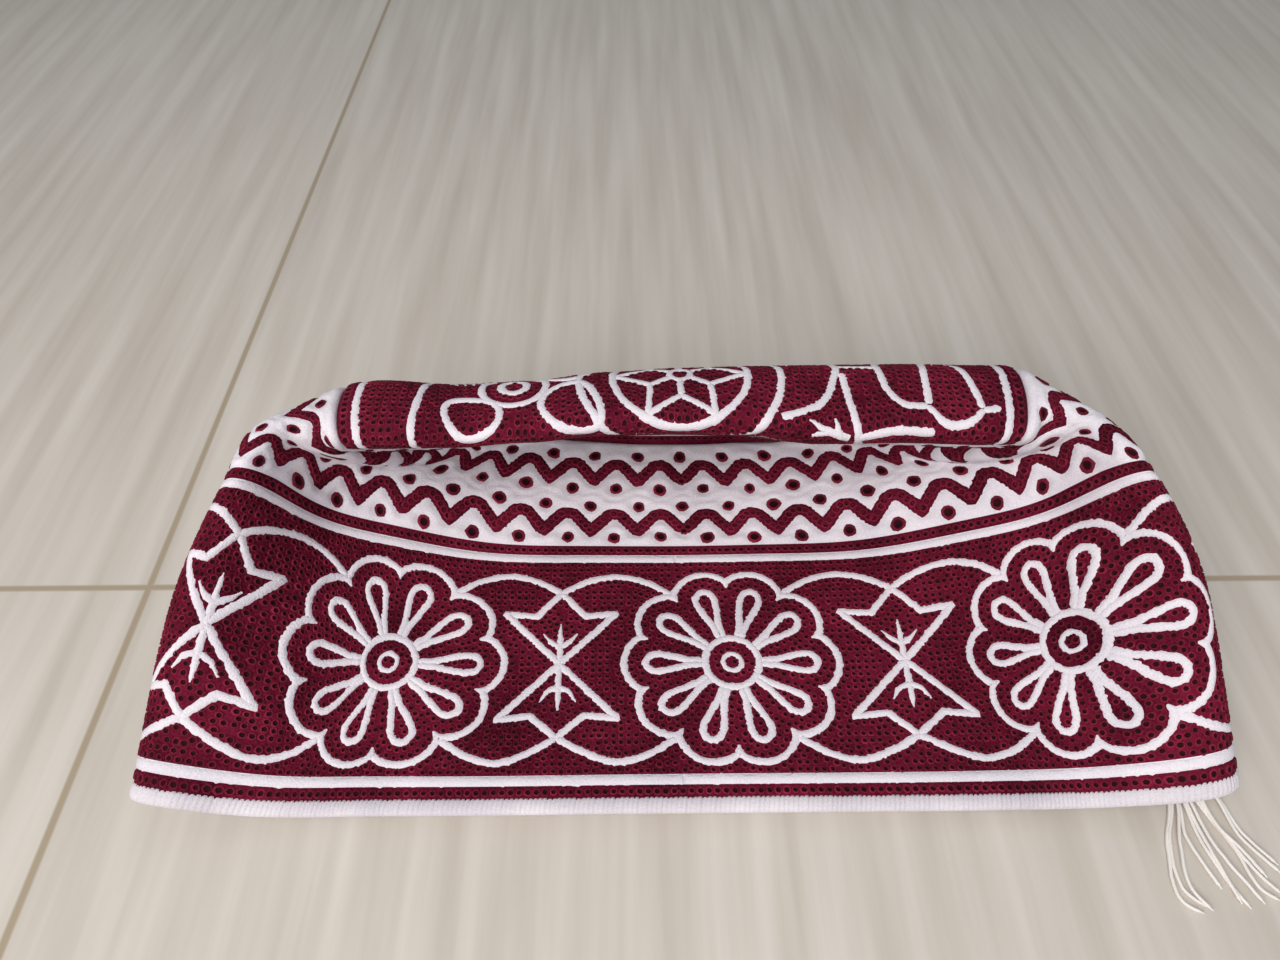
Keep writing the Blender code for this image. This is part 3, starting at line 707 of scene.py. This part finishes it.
def strips(strokes, rise, put):
    """Points and faces of raised strips along strokes. put() turns flat places into points of the cap."""
    every_point = []
    faces = []
    count = 0
    for points, width, closed in strokes:
        centre = points[:, :2]
        half = np.full(len(points), width / 2) if width else points[:, 2] / 2
        looped = closed and abs(centre[0, 0] - centre[-1, 0]) < GIRTH_MM / 2
        if looped:
            ahead = np.roll(centre, -1, axis=0) - centre
            behind = centre - np.roll(centre, 1, axis=0)
        else:
            ahead = np.diff(centre, axis=0, append=2 * centre[-1:] - centre[-2:-1])
            behind = np.concatenate([ahead[:1], ahead[:-1]])
        ahead = unit(ahead)
        tangent = unit(ahead + unit(behind))
        mitre = np.clip(1 / np.maximum((tangent * ahead).sum(axis=1), 0.1), 1, SHARPEST)
        left = np.stack([-tangent[:, 1], tangent[:, 0]], axis=1)
        if not closed and width:
            travelled = np.arange(len(points)) * SAMPLE
            from_end = np.minimum(travelled, travelled[::-1]) + STRIP_END
            half = half * np.sqrt(1 - (1 - np.clip(from_end / half, 0, 1)) ** 2)
        ragged = noise.normal(0, ROUGH_EDGE, (len(points), 2))
        reach = half * mitre
        offset = STRIP_ACROSS[None, :] * reach[:, None]
        offset[:, 0] -= ragged[:, 0]
        offset[:, 4] += ragged[:, 1]
        flat = centre[:, None, :] + left[:, None, :] * offset[:, :, None]
        up = WALL_MM + rise * STRIP_UP[None, :] * np.clip(half / LOW_BELOW, 0.3, 1)[:, None]
        up = up + noise.normal(0, STRIP_JITTER, up.shape)
        every_point.append(put(flat[:, :, 0], flat[:, :, 1], up).reshape(-1, 3))
        n = len(points)
        for i in range(n if looped else n - 1):
            a = count + 5 * i
            b = count + 5 * ((i + 1) % n)
            for c in range(4):
                faces.append((a + c + 1, a + c, b + c, b + c + 1))
        count += 5 * n
    return np.concatenate(every_point), faces


white_line = fabric("white_line_cloth", WHITE_DARK, WHITE_LIGHT, 0.85, 0.0005, 0.7, 0.2)
points, faces = strips(side_strokes, LINE_RISE, place)
new_piece("side_lines", points, faces, white_line)


# The burgundy zigzags on the plain white zone: flat bands of stitching, sewn on the cloth. Rows of
# eyelets cover them further down.
ZIGZAG_WIDTH = 4.4
ZIGZAG_RISE = 0.3
zigzag_strokes = [(line, ZIGZAG_WIDTH, False) for line in zigzag_lines]
points, faces = strips(zigzag_strokes, ZIGZAG_RISE, place)
new_piece("side_zigzags", points, faces, ground)


# The eyelets: small bound holes that fill the burgundy ground in rows that follow the lines.
# Each is a low ring of crimson thread round a hole. The hole's floor is a disc painted near black as painted
# shadow, and the ring's crest carries a painted highlight. A spot is the middle of one.
EYELET_PITCH = 1.85      # along a row
ROW_PITCH = 1.9          # from one row to the next
GAP_PITCH = 1.62         # where rows meet
NEAR_LINE = 1.0          # from a line's edge to the middle of the first row
BESIDE_STEP = 0.42       # of the grid that is searched for spots beside a line
BETWEEN_STEP = 0.5       # and of the one for spots in what is left
FIELD = (10.7, 74.0)     # the lowest and the highest spots of the side
STRIPE_ROWS = (5.35, 78.85)
STRIPE_PITCH = 2.15
STRIPE_SIZE = 1.15       # of the eyelets on a stripe, as a share of the usual size
ZIGZAG_PITCH = 2.0
ZIGZAG_SIZE = 1.4
DOT_SIZE = 2.05
DOT_SIDES = 10
OVER_ZIGZAG = 0.2        # how far these lie above the cloth
OVER_WHITE = 0.12
EYELET_SIDES = 6
EYELET_FLOOR = 0.07      # of the hole, above the cloth
# From the hole outwards: radius and height in mm, and how light the thread is painted there, from 0 (painted
# shadow in the hole) to 1 (painted highlight on the crest).
EYELET_PROFILE = ((0.54, 0.09, 0.0), (0.66, 0.26, 0.6), (0.82, 0.38, 1.0), (1.08, -0.02, 0.7))


class Spots:
    """Spots that keep a distance from each other, on the flat cloth."""

    def __init__(self, wrap):
        self.cell = EYELET_PITCH
        self.wrap = int(GIRTH_MM / EYELET_PITCH) if wrap else 0
        if wrap:
            self.cell = GIRTH_MM / self.wrap
        self.cells = {}
        self.found = []

    def offer(self, x, y, apart):
        a = int(x // self.cell)
        b = int(y // self.cell)
        for i in (a - 1, a, a + 1):
            for j in (b - 1, b, b + 1):
                key = (i % self.wrap if self.wrap else i, j)
                for u, v in self.cells.get(key, ()):
                    across = abs(u - x)
                    if self.wrap:
                        across = min(across, GIRTH_MM - across)
                    if across * across + (v - y) ** 2 < apart * apart:
                        return False
        key = (a % self.wrap if self.wrap else a, b)
        self.cells.setdefault(key, []).append((x, y))
        self.found.append((x, y))
        return True


def eyelet_spots(strokes, low, high, wrap):
    """Spots in a row beside each stroke, then in straight rows, then in what is left between them."""
    centre = np.concatenate([points[:, :2] for points, width, closed in strokes])
    half = np.concatenate([
        np.full(len(points), width / 2) if width else points[:, 2] / 2 for points, width, closed in strokes
    ])
    tree = tree_of(centre, wrap)
    spots = Spots(wrap)

    def offer_all(step_x, step_y, apart, beside_only):
        """Offer the spots of a grid. Those beside a stroke go in the stroke's own order."""
        xs, ys = np.meshgrid(
            np.arange(low[0], high[0] - 0.5 * step_x, step_x), np.arange(low[1], high[1], step_y)
        )
        xs = xs + noise.uniform(-0.1, 0.1, xs.shape)
        ys = ys + noise.uniform(-0.1, 0.1, ys.shape)
        chosen = []
        for x, y in zip(xs.ravel().tolist(), ys.ravel().tolist()):
            at, nearest, far = tree.find((x, y, 0.0))
            clear = far - half[nearest] - NEAR_LINE
            if beside_only and abs(clear) < 0.25:
                chosen.append((nearest, x, y))
            elif not beside_only and clear > -0.1:
                chosen.append((0, x, y))
        if beside_only:
            chosen.sort()
        for nearest, x, y in chosen:
            spots.offer(x, y, apart)

    offer_all(BESIDE_STEP, BESIDE_STEP, EYELET_PITCH, True)
    offer_all(EYELET_PITCH + 0.1, ROW_PITCH, GAP_PITCH, False)
    offer_all(BETWEEN_STEP, BETWEEN_STEP, GAP_PITCH, False)
    return spots.found


def along_line(points, pitch):
    """Spots at an even pitch along a polyline."""
    lengths = np.linalg.norm(np.diff(points, axis=0), axis=1)
    travelled = np.concatenate([[0.0], np.cumsum(lengths)])
    at = np.linspace(0, travelled[-1], int(travelled[-1] / pitch), endpoint=False)
    return np.stack([np.interp(at, travelled, points[:, i]) for i in (0, 1)], axis=1)


def eyelets(name, spots, size, lift, put, material, sides=EYELET_SIDES):
    """One mesh piece of eyelets, with painted shadow for its holes and a painted highlight for its crests,
    and a tint for each eyelet.
    """
    spots = np.asarray(spots, float)
    count = len(spots)
    rings = len(EYELET_PROFILE)
    per_eyelet = 1 + rings * sides
    turn = np.arange(sides) / sides * 2 * math.pi + noise.uniform(0, 1, (count, 1))
    scale = size * noise.uniform(0.9, 1.1, (count, 1))
    squeeze = noise.uniform(0.86, 1.0, (count, 1))
    lean = noise.uniform(0, math.pi, (count, 1))
    x, y, up, painted_shade_and_highlight = np.empty((4, count, per_eyelet))
    x[:, 0] = spots[:, 0]
    y[:, 0] = spots[:, 1]
    up[:, 0] = EYELET_FLOOR
    painted_shade_and_highlight[:, 0] = 0.0
    for r, (radius, rise, light) in enumerate(EYELET_PROFILE):
        at = slice(1 + r * sides, 1 + (r + 1) * sides)
        reach = radius * scale * noise.uniform(0.88, 1.12, (count, sides))
        along = reach * np.cos(turn)
        aside = reach * np.sin(turn) * squeeze
        x[:, at] = spots[:, :1] + along * np.cos(lean) - aside * np.sin(lean)
        y[:, at] = spots[:, 1:] + along * np.sin(lean) + aside * np.cos(lean)
        up[:, at] = rise * noise.uniform(0.8, 1.2, (count, sides))
        # painted shade and highlight: how light each ring of an eyelet is painted, dark in the hole and
        # lightest on the crest
        painted_shade_and_highlight[:, at] = np.clip(light * noise.uniform(0.75, 1.15, (count, sides)), 0, 1)
    points = put(x, y, WALL_MM + lift + up).reshape(-1, 3)
    pattern = []
    for i in range(sides):
        j = (i + 1) % sides
        pattern.append((0, 1 + i, 1 + j, 1 + j))
        for r in range(rings - 1):
            a = 1 + r * sides
            b = a + sides
            pattern.append((a + i, b + i, b + j, a + j))
    pattern = np.array(pattern)
    faces = (pattern[None] + np.arange(count)[:, None, None] * per_eyelet).reshape(-1, 4).tolist()
    faces = [tuple(f[:3]) if f[2] == f[3] else tuple(f) for f in faces]
    obj = new_piece(name, points, faces, material)
    tint = np.repeat(noise.uniform(0, 1, count), per_eyelet)
    for attribute_name, values in (("painted_shade_and_highlight", painted_shade_and_highlight.ravel()), ("tint", tint)):
        attribute = obj.data.attributes.new(attribute_name, "FLOAT", "POINT")
        attribute.data.foreach_set("value", values.astype(np.float32))


# painted shadow: the near-black colour of the hole floors, which stands in for the shade inside each hole
HOLE_SHADOW_COLOUR = (0.020, 0.0008, 0.004, 1.0)
EYELET_TINTS = (0.72, 1.3)   # the darkest and the lightest eyelet, as shares of the thread's colour


def eyelet_thread():
    """Crimson thread, painted near black in the holes as their shadow and lighter on the crests as a painted
    highlight.
    """
    dark = (0.115, 0.005, 0.018)
    light = (0.27, 0.018, 0.050)
    material = fabric("eyelet_thread", dark, light, 0.65, 0.00035, 0.6, 0.02, 0.10)
    link = material.node_tree.links.new
    base = material.node_tree.nodes["Principled BSDF"].inputs["Base Color"]
    thread_colour = base.links[0].from_socket
    # the painted shade and highlight weight of each eyelet mixes the painted hole shadow into the thread's
    # colour
    painted_shade_and_highlight = add_node(material, "ShaderNodeAttribute", attribute_name="painted_shade_and_highlight")
    tint = add_node(material, "ShaderNodeAttribute", attribute_name="tint")
    brighter = add_node(material, "ShaderNodeMapRange", zip(("To Min", "To Max"), EYELET_TINTS))
    tinted = add_node(material, "ShaderNodeVectorMath", operation="SCALE")
    mix = add_node(material, "ShaderNodeMix", (("A", HOLE_SHADOW_COLOUR),), data_type="RGBA")
    link(tint.outputs["Fac"], brighter.inputs["Value"])
    link(thread_colour, tinted.inputs[0])
    link(brighter.outputs["Result"], tinted.inputs["Scale"])
    link(painted_shade_and_highlight.outputs["Fac"], mix.inputs["Factor"])
    link(tinted.outputs[0], mix.inputs["B"])
    link(mix.outputs["Result"], base)
    return material


thread = eyelet_thread()
side_spots = eyelet_spots(side_strokes, (0.0, FIELD[0]), (GIRTH_MM, FIELD[1]), True)


def in_parts(name, spots, parts, put):
    """Eyelets of the usual size, split over several pieces."""
    spots.sort()
    for k in range(parts):
        share = spots[k * len(spots) // parts:(k + 1) * len(spots) // parts]
        eyelets(f"{name}_{k + 1}", share, 1.0, 0.0, put, thread)


in_parts("side_eyelets", side_spots, 3, place)
stripe_spots = []
for row in STRIPE_ROWS:
    pitch = GIRTH_MM / round(GIRTH_MM / STRIPE_PITCH)
    shift = noise.uniform(0, pitch)
    stripe_spots += [(s + shift, row) for s in np.arange(0, GIRTH_MM - 0.5, pitch)]
eyelets("side_stripe_eyelets", stripe_spots, STRIPE_SIZE, 0.0, place, thread)
zigzag_spots = np.concatenate([along_line(line, ZIGZAG_PITCH) for line in zigzag_lines])
eyelets("side_zigzag_eyelets", zigzag_spots, ZIGZAG_SIZE, OVER_ZIGZAG, place, thread)
eyelets("side_dots", dots, DOT_SIZE, OVER_WHITE, place, thread, DOT_SIDES)


# The overcast edge: a soft roll of white thread, sewn over the cut edges of the cloth all round the
# opening. Each stitch is a rib. The section's places are millimetres up from the edge and outwards.
RIB_PITCH = 1.2
RIB_DEPTH = 0.24
RIB_COLUMNS = 4
RIB_LEAN = 0.12        # how far a stitch leans sideways, for each millimetre up
RIB_UNEVEN = (-0.08, 0.1)
RIM_SECTION = ((3.9, 0.9), (3.3, 1.2), (2.1, 1.35), (0.9, 1.2), (0.2, 0.7), (0.0, 0.0),
               (0.2, -0.8), (0.9, -1.3), (2.3, -1.45), (4.1, -1.2))
ribs = int(GIRTH_MM / RIB_PITCH)
rib_columns = ribs * RIB_COLUMNS
rib_s = np.arange(rib_columns) * GIRTH_MM / rib_columns
bulge = np.abs(np.sin(math.pi * rib_s / (GIRTH_MM / ribs))) ** 0.6
uneven = np.repeat(noise.uniform(*RIB_UNEVEN, ribs), RIB_COLUMNS)
rim_rows = []
for t, h in RIM_SECTION:
    swell = (bulge - 1) * RIB_DEPTH + uneven
    rim_rows.append(place(rib_s + RIB_LEAN * t, np.full(rib_columns, t), h + np.sign(h) * swell))
points = np.concatenate(rim_rows)
faces = [f[::-1] for f in ring_faces(len(rim_rows), rib_columns)]
last_row = (len(rim_rows) - 1) * rib_columns
for i in range(rib_columns):
    j = (i + 1) % rib_columns
    faces.append((i, j, last_row + j, last_row + i))
rim_thread = fabric("rim_thread", (0.56, 0.52, 0.58), (0.80, 0.76, 0.81), 0.75, 0.0003, 0.6, 0.3)
rim = new_piece("rim_edge", points, faces, rim_thread)
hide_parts("rim_binding")


# The crown: a flat disc of cloth that folds over its ridge, with a burgundy ground and its own
# white lines. Places on it are millimetres to the right of its middle, and towards the back.
CROWN_LINE = 2.1
EDGE_LINE = 84.7        # radius of the white line inside the seam stripe
MEDALLION = 17.8
MEDALLION_FRAME = 26.5  # radius of the line round the medallion
MEDALLION_HUB = 2.7
SPOKES = 6
SPOKE_TURN = 360 / SPOKES   # degrees from one spoke to the next
SPOKE_START = 3.0       # radii where a spoke starts, where it forks and where the fork ends
SPOKE_FORK = 9.0
SPOKE_END = 17.0
SPOKE_LINE = 1.8        # width of a spoke, and of the hub's ring
FLOWER_HEART = 3.4      # radius and width of the ring in a flower's middle
FLOWER_HEART_LINE = 2.2
FLOWER_RING = 8.6       # radius of the ring round that
FLOWER = (-44.0, 0.4)   # middle of the flower to the left of the medallion
FLOWER_CENTRES = ((-26.0, 45.0), (26.0, 45.0), (-26.0, -45.0), (26.0, -45.0))
# Petals of that flower, from its middle.
PETAL_SHAPES = (
    ((-17.0, -5.9), (-15.0, -14.9), (-12.0, -17.2), (-7.0, -17.0),
     (-3.3, -14.4), (-3.4, -8.9), (-9.5, -5.4)),
    ((7.8, -8.0), (11.4, -2.4), (17.6, -1.6), (21.4, -6.8), (22.6, -17.2), (15.5, -17.4), (10.0, -13.8)),
)
# White lines right of the medallion: the frame of a wing, a stem, a twig, and the scallops of
# a flower that the edge cuts off.
RIGHT_LINES = (
    ((25.2, -14.6), (31.5, -12.2), (36.3, -9.3), (39.4, -3.3),
     (41.5, 6.2), (39.0, 14.0), (31.0, 19.0), (25.2, 18.6)),
    ((42.3, 0.5), (43.4, -10.9), (45.1, -19.2), (47.5, -30.0)),
    ((44.9, -18.9), (53.8, -17.2), (64.3, -17.7)),
    ((41.5, 4.5), (51.6, 3.9)),
    ((56.0, 14.0), (52.6, 8.0), (52.6, 0.0), (53.6, -5.8), (57.0, -10.2), (63.0, -11.0)),
    ((63.0, -11.0), (67.0, -15.4), (74.0, -14.6), (77.2, -11.6)),
    ((77.2, -11.6), (81.7, -11.0)),
    ((66.0, 12.0), (64.8, 6.0), (63.4, -10.4)),
    ((70.0, 12.0), (73.5, 5.0), (77.2, -11.0)),
    ((56.0, 14.0), (58.0, 22.0), (66.0, 24.0), (72.0, 29.0), (79.0, 27.0)),
    ((66.0, 12.0), (66.0, 24.0)),
)
TWIG_LINES = (
    ((32.3, -14.6, 0.5), (36.2, -16.6, 1.8), (42.5, -18.9, 2.0)),
    ((39.0, -14.2, 0.5), (39.6, -17.0, 1.8), (40.4, -18.4, 1.8)),
    ((33.0, -17.9, 0.5), (36.9, -17.2, 1.6)),
)
LEFT_ARC = ((-66.0, 17.0), (-68.6, 0.0), (-69.2, -17.5), (-66.0, -30.0))   # beyond the left flower
CROWN_STRIPE = 87.7     # radius of the row of eyelets next to the seam
CROWN_STRIPE_PITCH = 2.1
CROWN_STRIPE_SIZE = 1.3
CLEAR_OF_EDGE = 0.6     # from the edge line to the middle of the nearest eyelet
CROWN_STEP = 1.4
crown_rows = np.concatenate([
    SIDE_MM + np.array([0.15, 0.6, 1.2]), SIDE_MM + np.arange(2.0, CROWN_MM - 1.0, CROWN_STEP)
])
height = -SEAM_DIP * np.clip(1 - (crown_rows - SIDE_MM) / SEAM_WIDTH, 0, 1)
outside = sheet_points(crown_rows, WALL_MM + height[:, None])
lining_rows = np.arange(SIDE_MM + CROWN_MM - 1.5, SIDE_MM + 0.5, -LINING_STEP)
lining_rows = np.append(lining_rows, crown_rows[0])
inside = sheet_points(lining_rows, -WALL_MM)
top_end = len(crown_rows) * COLUMNS
points = np.concatenate([outside.reshape(-1, 3), inside.reshape(-1, 3)])
middle_out = outside[-1].mean(axis=0)
middle_in = inside[0].mean(axis=0)
points = np.concatenate([points, middle_out[None], middle_in[None]])
faces = ring_faces(len(crown_rows), COLUMNS) + ring_faces(len(lining_rows), COLUMNS, top_end)
outer_count = (len(crown_rows) - 1) * COLUMNS
inner_count = (len(lining_rows) - 1) * COLUMNS
for i in range(COLUMNS):
    j = (i + 1) % COLUMNS
    faces.append((top_end - COLUMNS + i, top_end - COLUMNS + j, len(points) - 2))
    faces.append((top_end + j, top_end + i, len(points) - 1))
    faces.append((len(points) - 2 - COLUMNS + i, len(points) - 2 - COLUMNS + j, j, i))
crown = new_piece("crown_cloth", points, faces, ground)
crown.data.materials.append(lining)
kinds = np.concatenate([np.zeros(outer_count), np.ones(inner_count), np.tile([0, 1, 0], COLUMNS)])
crown.data.polygons.foreach_set("material_index", kinds.astype(np.int32))
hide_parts("crown_top")

crown_strokes = [(circle(0, 0, EDGE_LINE), CROWN_LINE, True)]
crown_strokes.append((circle(0, 0, MEDALLION_HUB), SPOKE_LINE, True))
crown_strokes.append((circle(0, 0, MEDALLION), CROWN_LINE, True))
for k in range(SPOKES):
    spoke = math.radians(SPOKE_TURN * (k + 0.5))
    foot = (SPOKE_START * math.cos(spoke), SPOKE_START * math.sin(spoke))
    fork = (SPOKE_FORK * math.cos(spoke), SPOKE_FORK * math.sin(spoke))
    crown_strokes.append((resample([foot, fork]), SPOKE_LINE, False))
    for hand in (-1, 1):
        turn = spoke + hand * math.radians(SPOKE_TURN / 2)
        tip = (SPOKE_END * math.cos(turn), SPOKE_END * math.sin(turn))
        crown_strokes.append((resample([fork, tip]), SPOKE_LINE, False))
crown_strokes.append((circle(0, 0, MEDALLION_FRAME), CROWN_LINE, True))
for x, y in (FLOWER, *FLOWER_CENTRES):
    crown_strokes.append((circle(x, y, FLOWER_HEART), FLOWER_HEART_LINE, True))
    crown_strokes.append((circle(x, y, FLOWER_RING), CROWN_LINE, True))
    for shape in PETAL_SHAPES:
        for flip in (1, -1):
            petal = smooth([(x + a, y + flip * b) for a, b in shape], True)
            crown_strokes.append((petal, CROWN_LINE, True))
crown_strokes.append((smooth(LEFT_ARC), CROWN_LINE, False))
for line in RIGHT_LINES:
    crown_strokes.append((smooth(line) if len(line) > 2 else resample(line), CROWN_LINE, False))
for line in TWIG_LINES:
    crown_strokes.append((resample(line), None, False))
points, faces = strips(crown_strokes, LINE_RISE, crown_place)
new_piece("crown_lines", points, faces, white_line)
crown_spots = eyelet_spots(crown_strokes, (-EDGE_LINE, -EDGE_LINE), (EDGE_LINE, EDGE_LINE), False)
farthest = EDGE_LINE - CROWN_LINE / 2 - CLEAR_OF_EDGE
crown_spots = [spot for spot in crown_spots if math.hypot(*spot) < farthest]
in_parts("crown_eyelets", crown_spots, 2, crown_place)
stripe = np.concatenate([circle(0, 0, CROWN_STRIPE), [[CROWN_STRIPE, 0.0]]])
stripe_spots = along_line(stripe, CROWN_STRIPE_PITCH)
eyelets("crown_stripe_eyelets", stripe_spots, CROWN_STRIPE_SIZE, 0.0, crown_place, thread)


# The loose thread ends: a few left-over ends of the rim's thread on the floor by the right side.
# Each strand is its route over the floor, in millimetres.
STRAND_RADIUS = 0.00045
STRAND_SIDES = 6
STRANDS = (
    ((116.0, -43.0), (116.3, -45.2), (111.5, -59.1), (110.8, -72.1), (114.1, -74.3)),
    ((116.8, -43.0), (117.0, -45.5), (112.4, -58.5), (112.0, -70.0), (115.0, -72.8)),
    ((117.5, -43.0), (118.0, -46.0), (115.0, -58.0), (114.0, -69.0), (117.0, -73.5)),
    ((119.5, -43.0), (119.9, -45.8), (120.6, -56.8), (123.4, -67.6), (125.8, -72.9)),
    ((119.8, -43.0), (120.3, -46.0), (121.2, -56.0), (122.5, -65.0), (123.6, -72.0)),
    ((120.5, -43.0), (121.2, -46.2), (123.0, -57.5), (126.2, -66.0), (129.0, -72.5)),
    ((122.0, -43.0), (122.7, -45.3), (128.2, -59.3), (130.5, -68.8), (133.7, -71.2)),
    ((122.8, -43.0), (123.5, -45.5), (127.5, -57.0), (131.8, -66.0), (135.2, -70.0)),
    ((126.0, -43.0), (127.5, -44.8), (130.5, -56.9), (136.4, -65.4)),
    ((127.0, -43.0), (128.5, -45.0), (131.8, -55.5), (137.0, -63.0)),
    ((118.0, -43.0), (118.5, -48.0), (117.2, -56.0), (119.0, -64.0), (120.5, -69.0)),
    ((124.0, -43.0), (124.6, -47.0), (126.2, -54.0), (130.0, -60.0), (133.0, -66.0)),
)
THREAD_LIFT = 0.0012      # of a strand's middle where it leaves the rim
LAYER = 0.0003            # strands that cross lie this far above each other
TURN_DOWN = 0.35          # share of a strand at which it reaches the floor
TIP = 0.96                # and at which its thin end starts
WAVER = 0.00005
side_turns = np.arange(STRAND_SIDES) / STRAND_SIDES * 2 * math.pi
points = []
faces = []
for k, strand in enumerate(STRANDS):
    line = smooth(strand, step=0.7) / 1000
    n = len(line)
    along = np.linspace(0, 1, n)
    line = line + np.cumsum(noise.normal(0, WAVER, (n, 2)), axis=0) * along[:, None]
    lifted = THREAD_LIFT * np.clip(1 - along / TURN_DOWN, 0, 1) ** 2
    floor_height = STRAND_RADIUS * 1.1 + LAYER * (k % 3) + lifted
    tangent = unit(np.gradient(line, axis=0))
    thin = STRAND_RADIUS * np.where(along < TIP, 1, 0.5)[:, None]
    first_point = len(points)
    x = line[:, :1] - tangent[:, 1:] * thin * np.cos(side_turns)
    y = line[:, 1:] + tangent[:, :1] * thin * np.cos(side_turns)
    z = floor_height[:, None] + thin * np.sin(side_turns)
    points += np.stack([x, y, z], axis=-1).reshape(-1, 3).tolist()
    faces += ring_faces(n, STRAND_SIDES, first_point)
    first_ring = range(first_point, first_point + STRAND_SIDES)
    last_ring = range(first_point + (n - 1) * STRAND_SIDES, first_point + n * STRAND_SIDES)
    faces.append(tuple(reversed(first_ring)))
    faces.append(tuple(last_ring))
strand_thread = fabric("strand_thread", (0.78, 0.74, 0.70), (0.95, 0.92, 0.89), 0.6, 0.0003, 0.3, 0.3)
strands = new_piece("thread_ends", points, faces, strand_thread)
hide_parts("loose_threads")


# The floor: large pale tiles with faint streaks, and two joints near the cap. It is staged, and is
# no part of the cap.
FLOOR_HALF = 2.5
FLOOR_DROP = 0.0001     # how far the floor lies under the cap
JOINT_X = -0.1645
JOINT_Y = 0.0226
JOINT_WIDTH = 0.0018
JOINT_FADE = (0.35, 0.75)     # shares of its width where a joint starts to fade and has gone
JOINT_COLOUR = (0.40, 0.33, 0.24, 1.0)
TILE_DARK = (0.55, 0.50, 0.44, 1.0)
TILE_LIGHT = (0.69, 0.645, 0.59, 1.0)
STREAKS = (120.0, 6.0, 1.0)   # per metre, across them and along them
STREAK_TURN = 0.05
STREAK_RANGE = (0.3, 0.7)     # the noise values where a streak is quite dark and quite light
corners = ((-1, -1), (1, -1), (1, 1), (-1, 1))
mesh = bpy.data.meshes.new("floor")
mesh.from_pydata([(x * FLOOR_HALF, y * FLOOR_HALF, -FLOOR_DROP) for x, y in corners], [], [(0, 1, 2, 3)])
floor = bpy.data.objects.new("floor", mesh)
bpy.context.scene.collection.objects.link(floor)
tile, shader, link = new_material("floor_tile", (("Roughness", 0.28),))
where = add_node(tile, "ShaderNodeTexCoord")
stretch = add_node(tile, "ShaderNodeMapping", (("Scale", STREAKS), ("Rotation", (0.0, 0.0, STREAK_TURN))))
streaks = add_node(tile, "ShaderNodeTexNoise", (("Scale", 1.0), ("Detail", 5.0)))
contrast = add_node(tile, "ShaderNodeMapRange", zip(("From Min", "From Max"), STREAK_RANGE))
streaked = add_node(tile, "ShaderNodeMix", (("A", TILE_DARK), ("B", TILE_LIGHT)), data_type="RGBA")
jointed = add_node(tile, "ShaderNodeMix", (("B", JOINT_COLOUR),), data_type="RGBA")
apart = add_node(tile, "ShaderNodeSeparateXYZ")
either = add_node(tile, "ShaderNodeMath", operation="MAXIMUM")
link(where.outputs["Object"], stretch.inputs["Vector"])
link(stretch.outputs["Vector"], streaks.inputs["Vector"])
link(streaks.outputs["Fac"], contrast.inputs["Value"])
link(contrast.outputs["Result"], streaked.inputs["Factor"])
link(where.outputs["Object"], apart.inputs["Vector"])
for k, (axis, joint_at) in enumerate((("X", JOINT_X), ("Y", JOINT_Y))):
    offset = add_node(tile, "ShaderNodeMath", ((1, joint_at),), operation="SUBTRACT")
    size = add_node(tile, "ShaderNodeMath", operation="ABSOLUTE")
    fade = add_node(tile, "ShaderNodeMapRange", (
        ("From Min", JOINT_WIDTH * JOINT_FADE[0]), ("From Max", JOINT_WIDTH * JOINT_FADE[1]),
        ("To Min", 1.0), ("To Max", 0.0),
    ))
    link(apart.outputs[axis], offset.inputs[0])
    link(offset.outputs[0], size.inputs[0])
    link(size.outputs[0], fade.inputs["Value"])
    link(fade.outputs["Result"], either.inputs[k])
link(either.outputs[0], jointed.inputs["Factor"])
link(streaked.outputs["Result"], jointed.inputs["A"])
link(jointed.outputs["Result"], shader.inputs["Base Color"])
mesh.materials.append(tile)


# The camera, where the photograph was taken from, and soft daylight from the front left.
CAMERA_AT = (-0.01858, -0.14618, 0.234)
CAMERA_TILT = 42.0      # degrees up from straight down
CAMERA_TURN = -0.6
FOCAL_LENGTH = 26.72
DAYLIGHT = (0.88, 0.94, 1.0, 1.0)
DAYLIGHT_STRENGTH = 0.26
LIT_SPOT = (0.0, 0.0, 0.02)
camera_data = bpy.data.cameras.new("camera")
camera = bpy.data.objects.new("camera", camera_data)
bpy.context.scene.collection.objects.link(camera)
camera.location = CAMERA_AT
camera.rotation_euler = (math.radians(CAMERA_TILT), 0.0, math.radians(CAMERA_TURN))
camera_data.sensor_width = 36.0
camera_data.lens = FOCAL_LENGTH
camera_data.clip_start = 0.01
bpy.context.scene.camera = camera
bpy.context.scene.view_settings.view_transform = "Standard"

world = bpy.data.worlds.new("room")
bpy.context.scene.world = world
world.use_nodes = True
world.node_tree.nodes["Background"].inputs["Color"].default_value = DAYLIGHT
world.node_tree.nodes["Background"].inputs["Strength"].default_value = DAYLIGHT_STRENGTH
for name, spot, power, size, colour in (
    ("window", (-0.3, -0.6, 0.72), 10.4, 0.7, (1.0, 0.955, 0.915)),
    ("room_light", (0.9, 0.2, 1.2), 1.2, 1.0, (0.96, 0.98, 1.0)),
):
    light_data = bpy.data.lights.new(name, "AREA")
    light_data.energy = power
    light_data.size = size
    light_data.color = colour
    light = bpy.data.objects.new(name, light_data)
    bpy.context.scene.collection.objects.link(light)
    light.location = spot
    light.rotation_euler = (Vector(LIT_SPOT) - Vector(spot)).to_track_quat("-Z", "Y").to_euler()
